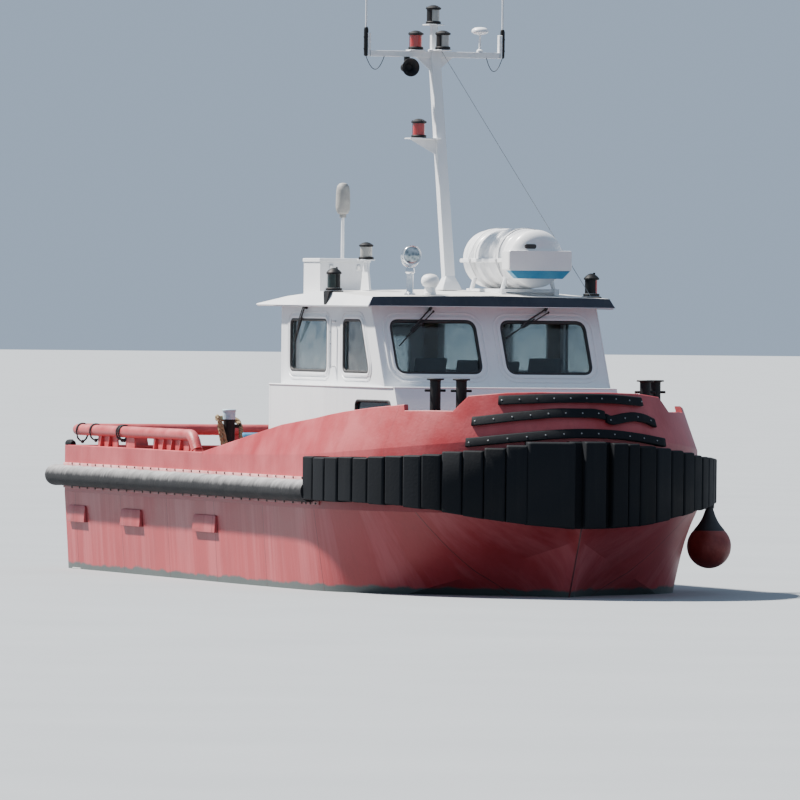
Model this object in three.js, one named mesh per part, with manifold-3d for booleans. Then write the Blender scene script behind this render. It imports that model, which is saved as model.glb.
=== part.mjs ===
// A small twin-screw harbour tug with a blunt, fendered pushing bow. Millimetres.
// +X is to port, the bow points along -Y, +Z is up, and Z = 0 is the still waterline.
// Distances called "aft" are measured from the foremost point of the hull.

import * as THREE from 'three';
import { mergeVertices } from 'three/addons/utils/BufferGeometryUtils.js';
import Module from 'manifold-3d';

const wasm = await Module();
wasm.setup();

// Driving dimensions of the hull
const HULL_LENGTH = 10250;
const HALF_BEAM = 2000;
const BOW_LENGTH = 2600; // the bow is half an ellipse in plan, this long
const CORNER_RADIUS = 80; // of the two corners of the stern
const DECK_Z = 830;
const BULWARK_Z = 1330;
const PLATE = 60; // thickness of a bulwark with its flange stiffeners
const GAP = 0.3; // left between pieces that touch
const LEAN = 0.36; // inward lean of the bow bulwark above its knuckle, per mm of height
const KEEL_HALF_WIDTH = 60;

// Driving dimensions of the deckhouse
const HOUSE_AFT = 5480; // outside face of its aft wall
const WALL = 50;
const RAKE = 0.5; // how far the front walls lean aft, per mm of height
const LOWER_HALF_WIDTH = 1350;
const LOWER_FRONT_HALF_WIDTH = 1200;
const LOWER_BREAK = 3830; // where the lower sides start to taper
const LOWER_FRONT = 2170; // front face at the ledge
const LEDGE_Z = 2050;
const LEDGE_THICKNESS = 40;
const HOUSE_HALF_WIDTH = 1220;
const HOUSE_FRONT = 2400; // front face of the wheelhouse at the ledge
const EAVE_Z = 2860;
const WINDOW_LOW = 2190;
const WINDOW_HIGH = 2715;
const GLASS = 10;

const paint = (color, roughness = 0.5, metalness = 0.1) =>
  new THREE.MeshStandardMaterial({ color, roughness, metalness });
const RED = paint(0xb5383f);
const DARK_RED = paint(0x8c2b30);
const WHITE = paint(0xe9edf0);
const RUBBER = paint(0x15171b, 0.85, 0);
const GREY_RUBBER = paint(0x55585b, 0.8, 0);
const BLACK = paint(0x1b1d21, 0.6);
const STEEL = paint(0x9a9fa3, 0.35, 0.8);
const BRONZE = paint(0xa9803f, 0.35, 0.9);
const TINTED = paint(0x3d4a50, 0.1, 0);
const ORANGE = paint(0x8e3320, 0.6, 0);
const BLUE = paint(0x3f8fc4, 0.5, 0);
const GREY = paint(0x6d7276, 0.6);

const tug = new THREE.Group();
tug.name = 'tugboat';

function add(name, geometry, material) {
  const mesh = new THREE.Mesh(geometry, material);
  mesh.name = name;
  tug.add(mesh);
  return mesh;
}

const yAt = (aft) => aft - HULL_LENGTH / 2;
const radians = (degrees) => (degrees * Math.PI) / 180;
const point = (x, aft, z) => new THREE.Vector3(x, yAt(aft), z);

function solidOf(geometry) {
  const bare = geometry.index ? geometry.toNonIndexed() : geometry.clone();
  bare.deleteAttribute('normal');
  bare.deleteAttribute('uv');
  const merged = mergeVertices(bare, 1e-3);
  const mesh = new wasm.Mesh({
    numProp: 3,
    vertProperties: merged.attributes.position.array,
    triVerts: new Uint32Array(merged.index.array),
  });
  return new wasm.Manifold(mesh);
}

function geometryOf(solid) {
  const mesh = solid.getMesh();
  const geometry = new THREE.BufferGeometry();
  geometry.setAttribute('position', new THREE.BufferAttribute(new Float32Array(mesh.vertProperties), 3));
  geometry.setIndex(new THREE.BufferAttribute(new Uint32Array(mesh.triVerts), 1));
  return geometry;
}

const join = (...parts) => geometryOf(parts.map(solidOf).reduce((all, part) => all.add(part)));
const cut = (body, ...tools) =>
  geometryOf(tools.map(solidOf).reduce((rest, tool) => rest.subtract(tool), solidOf(body)));

// A closed mesh from points and triangles, turned so that its faces point out.
function closedMesh(points, triangles) {
  let volume = 0;
  for (const [a, b, c] of triangles) volume += points[a].dot(points[b].clone().cross(points[c]));
  const facing = volume < 0 ? triangles.map(([a, b, c]) => [a, c, b]) : triangles;
  const geometry = new THREE.BufferGeometry();
  geometry.setAttribute('position', new THREE.Float32BufferAttribute(points.flatMap((p) => p.toArray()), 3));
  geometry.setIndex(facing.flat());
  return geometry;
}

// Triangles that fill a flat outline, all turned the way the outline runs.
function fill(outline) {
  const normal = new THREE.Vector3();
  outline.forEach((p, i) => normal.add(p.clone().cross(outline[(i + 1) % outline.length])));
  normal.normalize();
  const across = Math.abs(normal.z) < 0.9 ? new THREE.Vector3(0, 0, 1) : new THREE.Vector3(1, 0, 0);
  const u = across.cross(normal).normalize();
  const v = normal.clone().cross(u);
  const flat = outline.map((p) => new THREE.Vector2(p.dot(u), p.dot(v)));
  return THREE.ShapeUtils.triangulateShape(flat, []).map(([a, b, c]) => {
    const turn = flat[b].clone().sub(flat[a]).cross(flat[c].clone().sub(flat[a]));
    return turn > 0 ? [a, b, c] : [a, c, b];
  });
}

// A solid through like sections, each a closed outline with the same number of points.
function loft(sections, ends = fill) {
  const count = sections[0].length;
  const triangles = [];
  for (let i = 0; i + 1 < sections.length; i++) {
    for (let j = 0; j < count; j++) {
      const a = i * count + j;
      const b = i * count + ((j + 1) % count);
      triangles.push([a, b, b + count], [a, b + count, a + count]);
    }
  }
  const last = (sections.length - 1) * count;
  for (const [a, b, c] of ends(sections[0])) triangles.push([a, c, b]);
  for (const [a, b, c] of ends(sections.at(-1))) triangles.push([last + a, last + b, last + c]);
  return closedMesh(sections.flat(), triangles);
}

// Fills a mirrored outline, whose point i has its twin at count - i, with a strip across it.
function fillMirrored(outline) {
  const count = outline.length;
  const half = count / 2;
  const triangles = [];
  for (let i = 0; i < half; i++) {
    const [a, b, c, d] = [i, i + 1, count - i - 1, (count - i) % count];
    if (b !== c) triangles.push([a, b, c]);
    if (a !== d) triangles.push([a, c, d]);
  }
  return triangles;
}

function block(width, length, height, x, aft, z) {
  const geometry = new THREE.BoxGeometry(width, length, height);
  return geometry.translate(x, yAt(aft), z);
}

// A round bar or cone between two points.
function bar(from, to, radius, endRadius = radius, sides = 12) {
  const along = to.clone().sub(from);
  const geometry = new THREE.CylinderGeometry(endRadius, radius, along.length(), sides);
  const turn = new THREE.Quaternion().setFromUnitVectors(new THREE.Vector3(0, 1, 0), along.clone().normalize());
  const middle = from.clone().add(to).multiplyScalar(0.5);
  return geometry.applyQuaternion(turn).translate(middle.x, middle.y, middle.z);
}

// A turned piece on an upright axis, from a profile of [radius, height] pairs.
function turned(profile, x, aft, sides = 16) {
  const geometry = new THREE.LatheGeometry(profile.map(([r, z]) => new THREE.Vector2(r, z)), sides);
  return geometry.rotateX(Math.PI / 2).translate(x, yAt(aft), 0);
}

function roundedOutline(left, bottom, right, top, radius, rightTop = right) {
  const shape = new THREE.Shape();
  shape.moveTo(left + radius, bottom);
  shape.lineTo(right - radius, bottom);
  shape.quadraticCurveTo(right, bottom, right + ((rightTop - right) * radius) / (top - bottom), bottom + radius);
  shape.lineTo(rightTop - ((rightTop - right) * radius) / (top - bottom), top - radius);
  shape.quadraticCurveTo(rightTop, top, rightTop - radius, top);
  shape.lineTo(left + radius, top);
  shape.quadraticCurveTo(left, top, left, top - radius);
  shape.lineTo(left, bottom + radius);
  shape.quadraticCurveTo(left, bottom, left + radius, bottom);
  return shape;
}

function polygon(points) {
  return new THREE.Shape(points.map(([a, b]) => new THREE.Vector2(a, b)));
}

// An outline in X and Z made solid from its front face aft.
function across(shape, front, thickness) {
  const geometry = new THREE.ExtrudeGeometry(shape, { depth: thickness, bevelEnabled: false, curveSegments: 3 });
  return geometry.rotateX(Math.PI / 2).translate(0, yAt(front) + thickness, 0);
}

// An outline in distance aft and Z made solid from its inner face to port.
function lengthwise(shape, inner, thickness) {
  const geometry = new THREE.ExtrudeGeometry(shape, { depth: thickness, bevelEnabled: false, curveSegments: 3 });
  const toRow = new THREE.Matrix4().set(0, 0, 1, inner, 1, 0, 0, -HULL_LENGTH / 2, 0, 1, 0, 0, 0, 0, 0, 1);
  return geometry.applyMatrix4(toRow);
}

// Mirrors a starboard or port piece to the other side and turns its faces out again.
function mirrored(geometry) {
  const flipped = (geometry.index ? geometry.toNonIndexed() : geometry.clone()).scale(-1, 1, 1);
  const position = flipped.attributes.position;
  const [a, b] = [new THREE.Vector3(), new THREE.Vector3()];
  for (let i = 0; i < position.count; i += 3) {
    a.fromBufferAttribute(position, i + 1);
    b.fromBufferAttribute(position, i + 2);
    position.setXYZ(i + 1, b.x, b.y, b.z);
    position.setXYZ(i + 2, a.x, a.y, a.z);
  }
  return flipped;
}

// Moves each point aft in step with its height, so that an upright wall becomes a raked one.
function rake(geometry, fromZ) {
  const position = geometry.attributes.position;
  for (let i = 0; i < position.count; i++) {
    position.setY(i, position.getY(i) + (position.getZ(i) - fromZ) * RAKE);
  }
  return geometry;
}

// The deck's edge to port. On the bow and the stern corner it takes an angle, and on the side a distance aft.
function edge(part, value) {
  if (part === 'bow') {
    const angle = radians(value);
    const normal = new THREE.Vector2(Math.sin(angle) / HALF_BEAM, -Math.cos(angle) / BOW_LENGTH).normalize();
    return { x: HALF_BEAM * Math.sin(angle), aft: BOW_LENGTH * (1 - Math.cos(angle)), nx: normal.x, ny: normal.y };
  }
  if (part === 'side') return { x: HALF_BEAM, aft: value, nx: 1, ny: 0 };
  if (part === 'corner') {
    const angle = radians(value);
    const inner = HALF_BEAM - CORNER_RADIUS;
    return {
      x: inner + CORNER_RADIUS * Math.cos(angle),
      aft: HULL_LENGTH - CORNER_RADIUS + CORNER_RADIUS * Math.sin(angle),
      nx: Math.cos(angle),
      ny: Math.sin(angle),
      corner: true,
    };
  }
  return { x: 0, aft: HULL_LENGTH, nx: 0, ny: 1 };
}

const LEAST_RADIUS = 1; // of a corner's inner edge, where a piece is wider than the corner is round

// The point that lies a given way outside the deck's edge.
function outside(at, offset, z, side = 1) {
  const inward = at.corner ? Math.max(0, LEAST_RADIUS - CORNER_RADIUS - offset) : 0;
  return point(
    side * (at.x + at.nx * (offset + inward) - inward),
    at.aft + at.ny * (offset + inward) - inward,
    z,
  );
}

// A solid whose section runs along the deck's edge on both sides, from the port end of the stations, through
// the station on the centreline, to the starboard end. section(at, row) gives pairs of offset and height.
function alongEdge(stations, section) {
  const half = stations.map((row) => ({ at: edge(row[0], row[1]), row }));
  const toPort = half.map(({ at, row }) => section(at, row).map(([o, z]) => outside(at, o, z, 1)));
  const toStarboard = half.map(({ at, row }) => section(at, row).map(([o, z]) => outside(at, o, z, -1)));
  const centre = Math.abs(half[0].at.x) < 1 ? 1 : 0;
  return loft([...toPort.reverse(), ...toStarboard.slice(centre)]);
}

// Hull. Columns: part of the deck's edge, its angle in degrees or distance aft; the chine's distance aft,
// half width and height; the keel's distance aft and height.
const SECTIONS = [
  ['bow', 0, 100, 0, 570, 420, -120],
  ['bow', 14, 350, 270, 450, 650, -270],
  ['bow', 28, 620, 560, 325, 950, -420],
  ['bow', 42, 880, 850, 200, 1250, -560],
  ['bow', 56, 1200, 1170, 70, 1700, -700],
  ['bow', 70, 1650, 1540, -90, 2250, -820],
  ['bow', 80, 2150, 1790, -190, 2800, -880],
  ['bow', 90, 2750, 1880, -265, 3400, -900],
  ['side', 4200, 4200, 1920, -330, 4200, -900],
  ['side', 6500, 6500, 1920, -330, 6500, -880],
  ['side', 8500, 8500, 1920, -240, 8500, -520],
  ['side', 9300, 9300, 1930, -180, 9300, -340],
  ['side', 10150, 10150, 1940, -130, 10150, -240],
  ['corner', 45, 10226, 1925, -125, 10226, -235],
  ['corner', 90, 10250, 1880, -125, 10250, -230],
  ['centre', 0, 10250, 0, -222, 10250, -230],
];

function wholeRing(halfRing) {
  const twins = halfRing.slice(1, -1).reverse();
  return [...halfRing, ...twins.map((p) => new THREE.Vector3(-p.x, p.y, p.z))];
}

// The plain hull, grown on all its sides by a given amount
function hullShape(grow = 0) {
  const deckRing = SECTIONS.map(([part, value]) => outside(edge(part, value), grow, DECK_Z + grow));
  const chineRing = SECTIONS.map(([part, value, aft, width, z]) =>
    outside({ ...edge(part, value), x: width, aft }, grow, z));
  const keelRing = SECTIONS.map(([, , , width, , aft, z]) => point(Math.min(width, KEEL_HALF_WIDTH), aft, z));
  return loft([deckRing, chineRing, keelRing].map(wholeRing), fillMirrored);
}

// Shaft line and rudder places, to port; the same to starboard
const SHAFT_X = 700;
const SHAFT_Z = -720;
const SHAFT_RADIUS = 40;
const PROPELLER_AFT = 9050;
const PROPELLER_RADIUS = 300;
const RUDDER_AFT = 9480;
const STOCK_RADIUS = 35;
const BOSS_END = 7000;
const BRACKET_AFT = 8720;

function sternGear(side) {
  const x = side * SHAFT_X;
  const bossing = bar(point(x, 5500, SHAFT_Z), point(x, BOSS_END, SHAFT_Z), 40, 85);
  const barrel = bar(point(x, BRACKET_AFT - 70, SHAFT_Z), point(x, BRACKET_AFT + 70, SHAFT_Z), 75);
  const legs = [-1, 1].map((way) =>
    bar(point(x + way * 50, BRACKET_AFT, SHAFT_Z + 30), point(x + way * 230, BRACKET_AFT, -300), 22, 22, 8),
  );
  const bore = bar(point(x, BRACKET_AFT - 80, SHAFT_Z), point(x, BRACKET_AFT + 80, SHAFT_Z), SHAFT_RADIUS + 6);
  const bracket = cut(join(barrel, ...legs), bore);
  const rudderPort = bar(point(x, RUDDER_AFT, -400), point(x, RUDDER_AFT, -200), 70);
  return [bossing, bracket, rudderPort];
}

// Half-round hoods over the outlets in the hull's side: distance aft of each
const HOODS = [5590, 7970, 9560];
const HOOD = { length: 680, height: 185, depth: 45, z: 550 };

function hood(side, aft) {
  const profile = polygon([
    [-20, -HOOD.height / 2],
    [HOOD.depth, -HOOD.height / 2],
    [HOOD.depth, -HOOD.height / 2 + 70],
    [HOOD.depth - 12, HOOD.height / 2 - 40],
    [-20, HOOD.height / 2],
  ]);
  const solid = across(profile, aft - HOOD.length / 2, HOOD.length);
  solid.translate(HALF_BEAM - 22, 0, HOOD.z);
  return side > 0 ? solid : mirrored(solid);
}

// High bow bulwark. Columns: part of the deck's edge, its angle or distance aft, knuckle height, top height.
const BOW_STATIONS = [
  ['bow', 0, 1580, 2030],
  ['bow', 12, 1575, 2030],
  ['bow', 23, 1560, 2020],
  ['bow', 34, 1530, 1985],
  ['bow', 38, 1515, 1835],
  ['bow', 46, 1490, 1835],
  ['bow', 53, 1465, 1830],
  ['bow', 53.6, 1463, 1890],
  ['bow', 64, 1430, 1855],
  ['bow', 76, 1395, 1805],
  ['bow', 90, 1365, 1735],
  ['side', 3580, 1345, 1650],
  ['side', 5700, 1310, 1340],
];
// Raised foredeck inside the bow bulwark
const FOREDECK_Z = 1300;
const FOREDECK_ANGLE = 64; // where it ends on the bow
const foredeckEdge = BOW_STATIONS.filter(([part, angle]) => part === 'bow' && angle <= FOREDECK_ANGLE)
  .map(([part, angle]) => outside(edge(part, angle), -PLATE - GAP, 0));
const foredeckRing = [...foredeckEdge, foredeckEdge.at(-1).clone().setX(0)];
const foredeckLevels = [DECK_Z - 20, FOREDECK_Z].map((z) => wholeRing(foredeckRing.map((p) => p.clone().setZ(z))));

const skegOutline = polygon([
  [3500, -880],
  [6500, -860],
  [8500, -500],
  [8500, -1050],
  [8300, -1150],
  [4000, -1150],
]);
const skeg = lengthwise(skegOutline, -55, 110);

const hoods = HOODS.flatMap((aft) => [hood(1, aft), hood(-1, aft)]);
const foredeck = loft(foredeckLevels, fillMirrored);
add('hull', join(hullShape(), foredeck, skeg, ...sternGear(1), ...sternGear(-1), ...hoods), RED);

// Propellers. Blade columns: radius, chord, pitch angle in degrees, thickness.
const BLADE = [
  [50, 120, 62, 26],
  [120, 190, 48, 20],
  [200, 230, 35, 14],
  [265, 190, 28, 9],
  [PROPELLER_RADIUS, 90, 25, 5],
];
const BLADES = 4;

function blade(turn) {
  const sections = BLADE.map(([radius, chord, pitch, thickness]) => {
    const along = new THREE.Vector3(Math.cos(radians(pitch)), Math.sin(radians(pitch)), 0);
    const through = new THREE.Vector3(-along.y, along.x, 0);
    const corners = [[-chord / 2, 0], [0, -thickness / 2], [chord / 2, 0], [0, thickness / 2]];
    return corners.map(([a, b]) =>
      along.clone().multiplyScalar(a).addScaledVector(through, b).setZ(radius));
  });
  return loft(sections).rotateY(turn);
}

function propeller(side) {
  const hub = bar(new THREE.Vector3(0, -95, 0), new THREE.Vector3(0, 70, 0), 80, 70, 16);
  const cone = bar(new THREE.Vector3(0, 60, 0), new THREE.Vector3(0, 150, 0), 68, 18, 16);
  const shaftStart = BOSS_END + GAP - PROPELLER_AFT;
  const shaft = bar(new THREE.Vector3(0, shaftStart, 0), new THREE.Vector3(0, 0, 0), SHAFT_RADIUS);
  const blades = Array.from({ length: BLADES }, (_, i) => blade((i * 2 * Math.PI) / BLADES));
  const made = join(shaft, hub, cone, ...blades);
  made.translate(SHAFT_X, yAt(PROPELLER_AFT), SHAFT_Z);
  return side > 0 ? made : mirrored(made);
}

function rudder(side) {
  const x = side * SHAFT_X;
  const outline = (z, fore, aft) => [
    point(x, RUDDER_AFT - fore, z),
    point(x + 32, RUDDER_AFT - 20, z),
    point(x + 5, RUDDER_AFT + aft, z),
    point(x - 5, RUDDER_AFT + aft, z),
    point(x - 32, RUDDER_AFT - 20, z),
  ];
  const foil = loft([outline(-1080, 120, 300), outline(-430, 130, 340)]);
  return join(foil, bar(point(x, RUDDER_AFT, -500), point(x, RUDDER_AFT, -400 - GAP), STOCK_RADIUS));
}

for (const [name, side] of [['port', 1], ['starboard', -1]]) {
  add(`propeller_${name}`, propeller(side), BRONZE);
  add(`rudder_${name}`, rudder(side), DARK_RED);
}

// Low bulwark round the after deck, with a flat rail on its top
const AFT_STATIONS = [
  ['centre', 0],
  ['corner', 90],
  ['corner', 60],
  ['corner', 30],
  ['corner', 0],
  ['side', 7800],
  ['side', 5700 + GAP],
];
const RAIL_WIDTH = 170;
const RAIL_DEPTH = 20;
const lowSection = () => [
  [0, DECK_Z + GAP],
  [0, BULWARK_Z],
  [-RAIL_WIDTH, BULWARK_Z],
  [-RAIL_WIDTH, BULWARK_Z - RAIL_DEPTH],
  [-PLATE, BULWARK_Z - RAIL_DEPTH],
  [-PLATE, DECK_Z + GAP],
];
add('bulwark_aft', alongEdge(AFT_STATIONS, lowSection), RED);

// High bow bulwark on the stations above
function bowBulwark(grow = 0) {
  return alongEdge(BOW_STATIONS, (at, [, , knuckle, top]) => {
    const inset = (top - knuckle) * LEAN;
    return [
      [grow, DECK_Z + GAP - 2 * grow],
      [grow, knuckle + grow * LEAN],
      [grow - inset, top + grow],
      [-inset - PLATE, top + grow],
      [-PLATE, knuckle],
      [-PLATE, DECK_Z + GAP - 2 * grow],
    ];
  });
}
add('bulwark_bow', bowBulwark(), RED);

// Trims a piece that is fixed on the bow, so that its back follows the plating
const trimToBow = (geometry) => cut(geometry, hullShape(GAP), bowBulwark(GAP));

// Knuckle height of the bow bulwark at any angle of the bow
function knuckleAt(angle) {
  const rows = BOW_STATIONS.filter(([part]) => part === 'bow');
  const i = Math.min(rows.findIndex((row) => row[1] > angle), rows.length - 1);
  const [low, high] = i < 1 ? [rows.at(-2), rows.at(-1)] : [rows[i - 1], rows[i]];
  return low[2] + ((high[2] - low[2]) * (angle - low[1])) / (high[1] - low[1]);
}

// Push fender: rubber slabs side by side round the bow. Columns: angle, bottom height, top height.
const SLAB_HEIGHTS = [
  [0, 700, 1572],
  [24, 735, 1552],
  [38, 790, 1508],
  [60, 860, 1435],
  [80, 915, 1372],
  [90, 930, 1350],
];
const SLAB_WIDTH = 228;
const SLABS_A_SIDE = 16;
const SLAB_THICKNESS = 200;
const GROOVE_WIDTH = 16;
const GROOVE_DEPTH = 60;
const PATH_STEP = 0.25; // degrees, to measure along the bow

function slabHeights(angle) {
  const i = Math.max(1, SLAB_HEIGHTS.findIndex(([limit]) => limit >= angle));
  const [low, high] = [SLAB_HEIGHTS[i - 1], SLAB_HEIGHTS[i]];
  const share = (angle - low[0]) / (high[0] - low[0]);
  return [low[1] + (high[1] - low[1]) * share, low[2] + (high[2] - low[2]) * share];
}

// The angle at which the fender's face has run a given way round from the stem
function bowAngleAt(length) {
  let [angle, run] = [0, 0];
  let last = outside(edge('bow', 0), SLAB_THICKNESS, 0);
  while (run < length) {
    angle += PATH_STEP;
    const next = outside(edge('bow', angle), SLAB_THICKNESS, 0);
    run += next.distanceTo(last);
    last = next;
  }
  return angle;
}

function slabStations() {
  const stations = [['bow', 0, SLAB_THICKNESS]];
  for (let i = 1; i <= SLABS_A_SIDE; i++) {
    const end = (i - 0.5) * SLAB_WIDTH;
    stations.push(['bow', bowAngleAt(end - GROOVE_WIDTH), SLAB_THICKNESS]);
    if (i === SLABS_A_SIDE) break;
    stations.push(['bow', bowAngleAt(end - GROOVE_WIDTH) + 0.1, SLAB_THICKNESS - GROOVE_DEPTH]);
    stations.push(['bow', bowAngleAt(end), SLAB_THICKNESS - GROOVE_DEPTH]);
    stations.push(['bow', bowAngleAt(end) + 0.1, SLAB_THICKNESS]);
  }
  return stations;
}

const SLAB_STATIONS = slabStations();
const slabSection = (at, [, angle, thickness]) => {
  const [low, high] = slabHeights(angle);
  return [
    [-30, low],
    [-30, high],
    [thickness, high - 8],
    [thickness, low + 8],
  ];
};
add('fender_bow', trimToBow(alongEdge(SLAB_STATIONS, slabSection)), RUBBER);

// Round rubber fender from the slabs along both sides and across the stern
const FENDER_Z = 1005;
const FENDER_RADIUS = 110;
const FENDER_SIDES = 12;
const fenderStart = SLAB_STATIONS.at(-1)[1] + 0.15;
const FENDER_STATIONS = [
  ...AFT_STATIONS.slice(0, -1),
  ['side', 5000],
  ['side', BOW_LENGTH],
  ['bow', fenderStart],
];
const fenderSection = () =>
  Array.from({ length: FENDER_SIDES }, (_, i) => {
    const angle = ((i + 0.5) * 2 * Math.PI) / FENDER_SIDES;
    const out = FENDER_RADIUS - 5 + FENDER_RADIUS * Math.cos(angle);
    return [Math.max(out, GAP), FENDER_Z + FENDER_RADIUS * Math.sin(angle)];
  });
add('fender_side', alongEdge(FENDER_STATIONS, fenderSection), GREY_RUBBER);

// Rubber strips on the leaning face of the bow.
// Columns: name, then pairs of bow angle (negative is starboard) and height of the strip's middle.
const STRIP_HEIGHT = 88;
const STRIP_THICKNESS = 50;
const STRIPS = [
  ['top', [-25, 1962], [-12, 1975], [0, 1978], [12, 1975], [23, 1960]],
  ['middle', [-32, 1720], [-20, 1790], [-8, 1845], [6, 1850], [9, 1795], [14, 1800], [18, 1812], [22, 1800], [26.5, 1755]],
  ['low', [-33, 1580], [-23, 1602], [-10, 1624], [0, 1627], [10, 1624], [20, 1606], [29, 1582]],
];

function strip(stops) {
  const sections = stops.map(([angle, z]) => {
    const at = edge('bow', Math.abs(angle));
    const knuckle = knuckleAt(Math.abs(angle));
    const faceAt = (height) => -(height - knuckle) * LEAN;
    const [low, high] = [z - STRIP_HEIGHT / 2, z + STRIP_HEIGHT / 2];
    const corners = [
      [faceAt(low) - 30, low],
      [faceAt(high) - 30, high],
      [faceAt(high) + STRIP_THICKNESS, high - 6],
      [faceAt(low) + STRIP_THICKNESS, low + 6],
    ];
    return corners.map(([offset, height]) => outside(at, offset, height, Math.sign(angle) || 1));
  });
  return trimToBow(loft(sections));
}

for (const [name, ...stops] of STRIPS) add(`strip_${name}`, strip(stops), RUBBER);

// Mooring bitts on the foredeck: two posts a side, with caps and cross pins
const POSTS = [[980, 850], [1175, 1065]]; // columns: X, distance aft
const POST_RADIUS = 54;
const POST_TOP = 2150;
const PIN_Z = 2030;

function bitts(side) {
  const foot = block(420, 420, 14, side * 1078, 958, FOREDECK_Z + GAP + 7);
  foot.computeBoundingBox();
  const posts = POSTS.flatMap(([x, aft]) => [
    turned([[0, FOREDECK_Z + 1], [POST_RADIUS, FOREDECK_Z + 1], [POST_RADIUS, POST_TOP - 14], [87, POST_TOP - 14],
      [87, POST_TOP], [0, POST_TOP]], side * x, aft),
    bar(point(side * x - 105, aft + 20, PIN_Z), point(side * x + 105, aft - 20, PIN_Z), 13, 13, 8),
  ]);
  return join(foot, ...posts);
}

add('bitts_port', bitts(1), BLACK);
add('bitts_starboard', bitts(-1), BLACK);

// Tow rails: heavy tubes above the bulwark that keep a tow rope clear of it
const TUBE_RADIUS = 60;
const TUBE_Z = 1495;
const TUBE_X = 1875;
const TUBE_FRONT = 6340;
const TUBE_BACK = 10130;
// Plates that carry each side tube. Columns: distance aft of the plate's ends.
const WEBS = [[6450, 7600], [8200, 8480], [8760, 9420]];

function sideRail(side) {
  const x = side * TUBE_X;
  const tube = bar(point(x, TUBE_FRONT, TUBE_Z), point(x, TUBE_BACK, TUBE_Z), TUBE_RADIUS);
  const elbow = bar(point(x, TUBE_FRONT, TUBE_Z), point(x, TUBE_FRONT - 130, BULWARK_Z + TUBE_RADIUS - 10), TUBE_RADIUS);
  const foot = block(100, 160, 30, x, TUBE_FRONT - 130, BULWARK_Z + GAP + 15);
  const joint = new THREE.SphereGeometry(TUBE_RADIUS, 12, 8).translate(x, yAt(TUBE_FRONT), TUBE_Z);
  const webs = WEBS.map(([from, to]) => {
    const height = TUBE_Z - BULWARK_Z - GAP;
    return block(16, to - from, height, x, (from + to) / 2, BULWARK_Z + GAP + height / 2);
  });
  return join(tube, elbow, joint, foot, ...webs);
}

add('rail_port', sideRail(1), RED);
add('rail_starboard', sideRail(-1), RED);

const sternTube = bar(
  point(-TUBE_X + TUBE_RADIUS + 4, TUBE_BACK, TUBE_Z + 5),
  point(TUBE_X - TUBE_RADIUS - 4, TUBE_BACK, TUBE_Z + 5),
  TUBE_RADIUS,
);
const sternWebs = [-1200, 0, 1200].map((x) => {
  const height = TUBE_Z - BULWARK_Z - GAP;
  return block(260, 16, height, x, TUBE_BACK, BULWARK_Z + GAP + height / 2);
});
add('rail_stern', join(sternTube, ...sternWebs), RED);

// Deckhouse: lower walls, with a ledge that carries the wheelhouse on top of them
const LOWER_BASE = DECK_Z + GAP;
const innerX = HOUSE_HALF_WIDTH - WALL;
const LOWER_WINDOW = { fore: 2250, aft: 3060, low: 1605, high: 1905, radius: 60 };

function lowerSide(side) {
  const section = (outer, aftAt) => {
    const pairs = [
      [outer, LOWER_BASE],
      [outer, LEDGE_Z],
      [innerX, LEDGE_Z],
      [innerX, LEDGE_Z - LEDGE_THICKNESS],
      [outer - WALL, LEDGE_Z - LEDGE_THICKNESS],
      [outer - WALL, LOWER_BASE],
    ];
    return pairs.map(([x, z]) => point(x, aftAt(z), z));
  };
  const wallBack = (z) => LOWER_FRONT + WALL + GAP - (LEDGE_Z - z) * RAKE;
  const wall = loft([
    section(LOWER_HALF_WIDTH, () => HOUSE_AFT - WALL - GAP),
    section(LOWER_HALF_WIDTH, () => LOWER_BREAK),
    section(LOWER_FRONT_HALF_WIDTH, wallBack),
  ]);
  const { fore, aft, low, high, radius } = LOWER_WINDOW;
  const made = cut(wall, lengthwise(roundedOutline(fore, low, aft, high, radius), 1100, 300));
  return side > 0 ? made : mirrored(made);
}

const lowerFrontOutline = polygon([
  [-LOWER_FRONT_HALF_WIDTH, LOWER_BASE],
  [LOWER_FRONT_HALF_WIDTH, LOWER_BASE],
  [LOWER_FRONT_HALF_WIDTH, LEDGE_Z],
  [-LOWER_FRONT_HALF_WIDTH, LEDGE_Z],
]);
const lowerFrontWall = rake(across(lowerFrontOutline, LOWER_FRONT, WALL), LEDGE_Z);
const ledgeEnd = HOUSE_FRONT + WALL;
const frontLedge = block(2 * (innerX - GAP), ledgeEnd - LOWER_FRONT - 20, LEDGE_THICKNESS,
  0, (ledgeEnd + LOWER_FRONT + 20) / 2, LEDGE_Z - LEDGE_THICKNESS / 2);
add('house_front', join(lowerFrontWall, frontLedge), WHITE);
add('house_side_port', lowerSide(1), WHITE);
add('house_side_starboard', lowerSide(-1), WHITE);

// Wheelhouse walls with their windows cut. The front windows come by a loop over the two sides.
const UPPER_BASE = LEDGE_Z + GAP;
const UPPER_TOP = EAVE_Z - GAP;
const FRONT_WINDOW = { inner: 140, outer: 1052, radius: 95 };
const AFT_WINDOW = { inner: 560, outer: 1040, radius: 70 };
const frontAt = (z) => HOUSE_FRONT + (z - LEDGE_Z) * RAKE;

const frontOutline = polygon([
  [-HOUSE_HALF_WIDTH, UPPER_BASE],
  [HOUSE_HALF_WIDTH, UPPER_BASE],
  [HOUSE_HALF_WIDTH, UPPER_TOP],
  [-HOUSE_HALF_WIDTH, UPPER_TOP],
]);
const paneOf = ({ inner, outer, radius }, side, shrink = 0) => {
  const [left, right] = side > 0 ? [inner, outer] : [-outer, -inner];
  return roundedOutline(left + shrink, WINDOW_LOW + shrink, right - shrink, WINDOW_HIGH - shrink, radius);
};
frontOutline.holes = [1, -1].map((side) => paneOf(FRONT_WINDOW, side));
add('wheelhouse_front', rake(across(frontOutline, HOUSE_FRONT, WALL), LEDGE_Z), WHITE);

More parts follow.
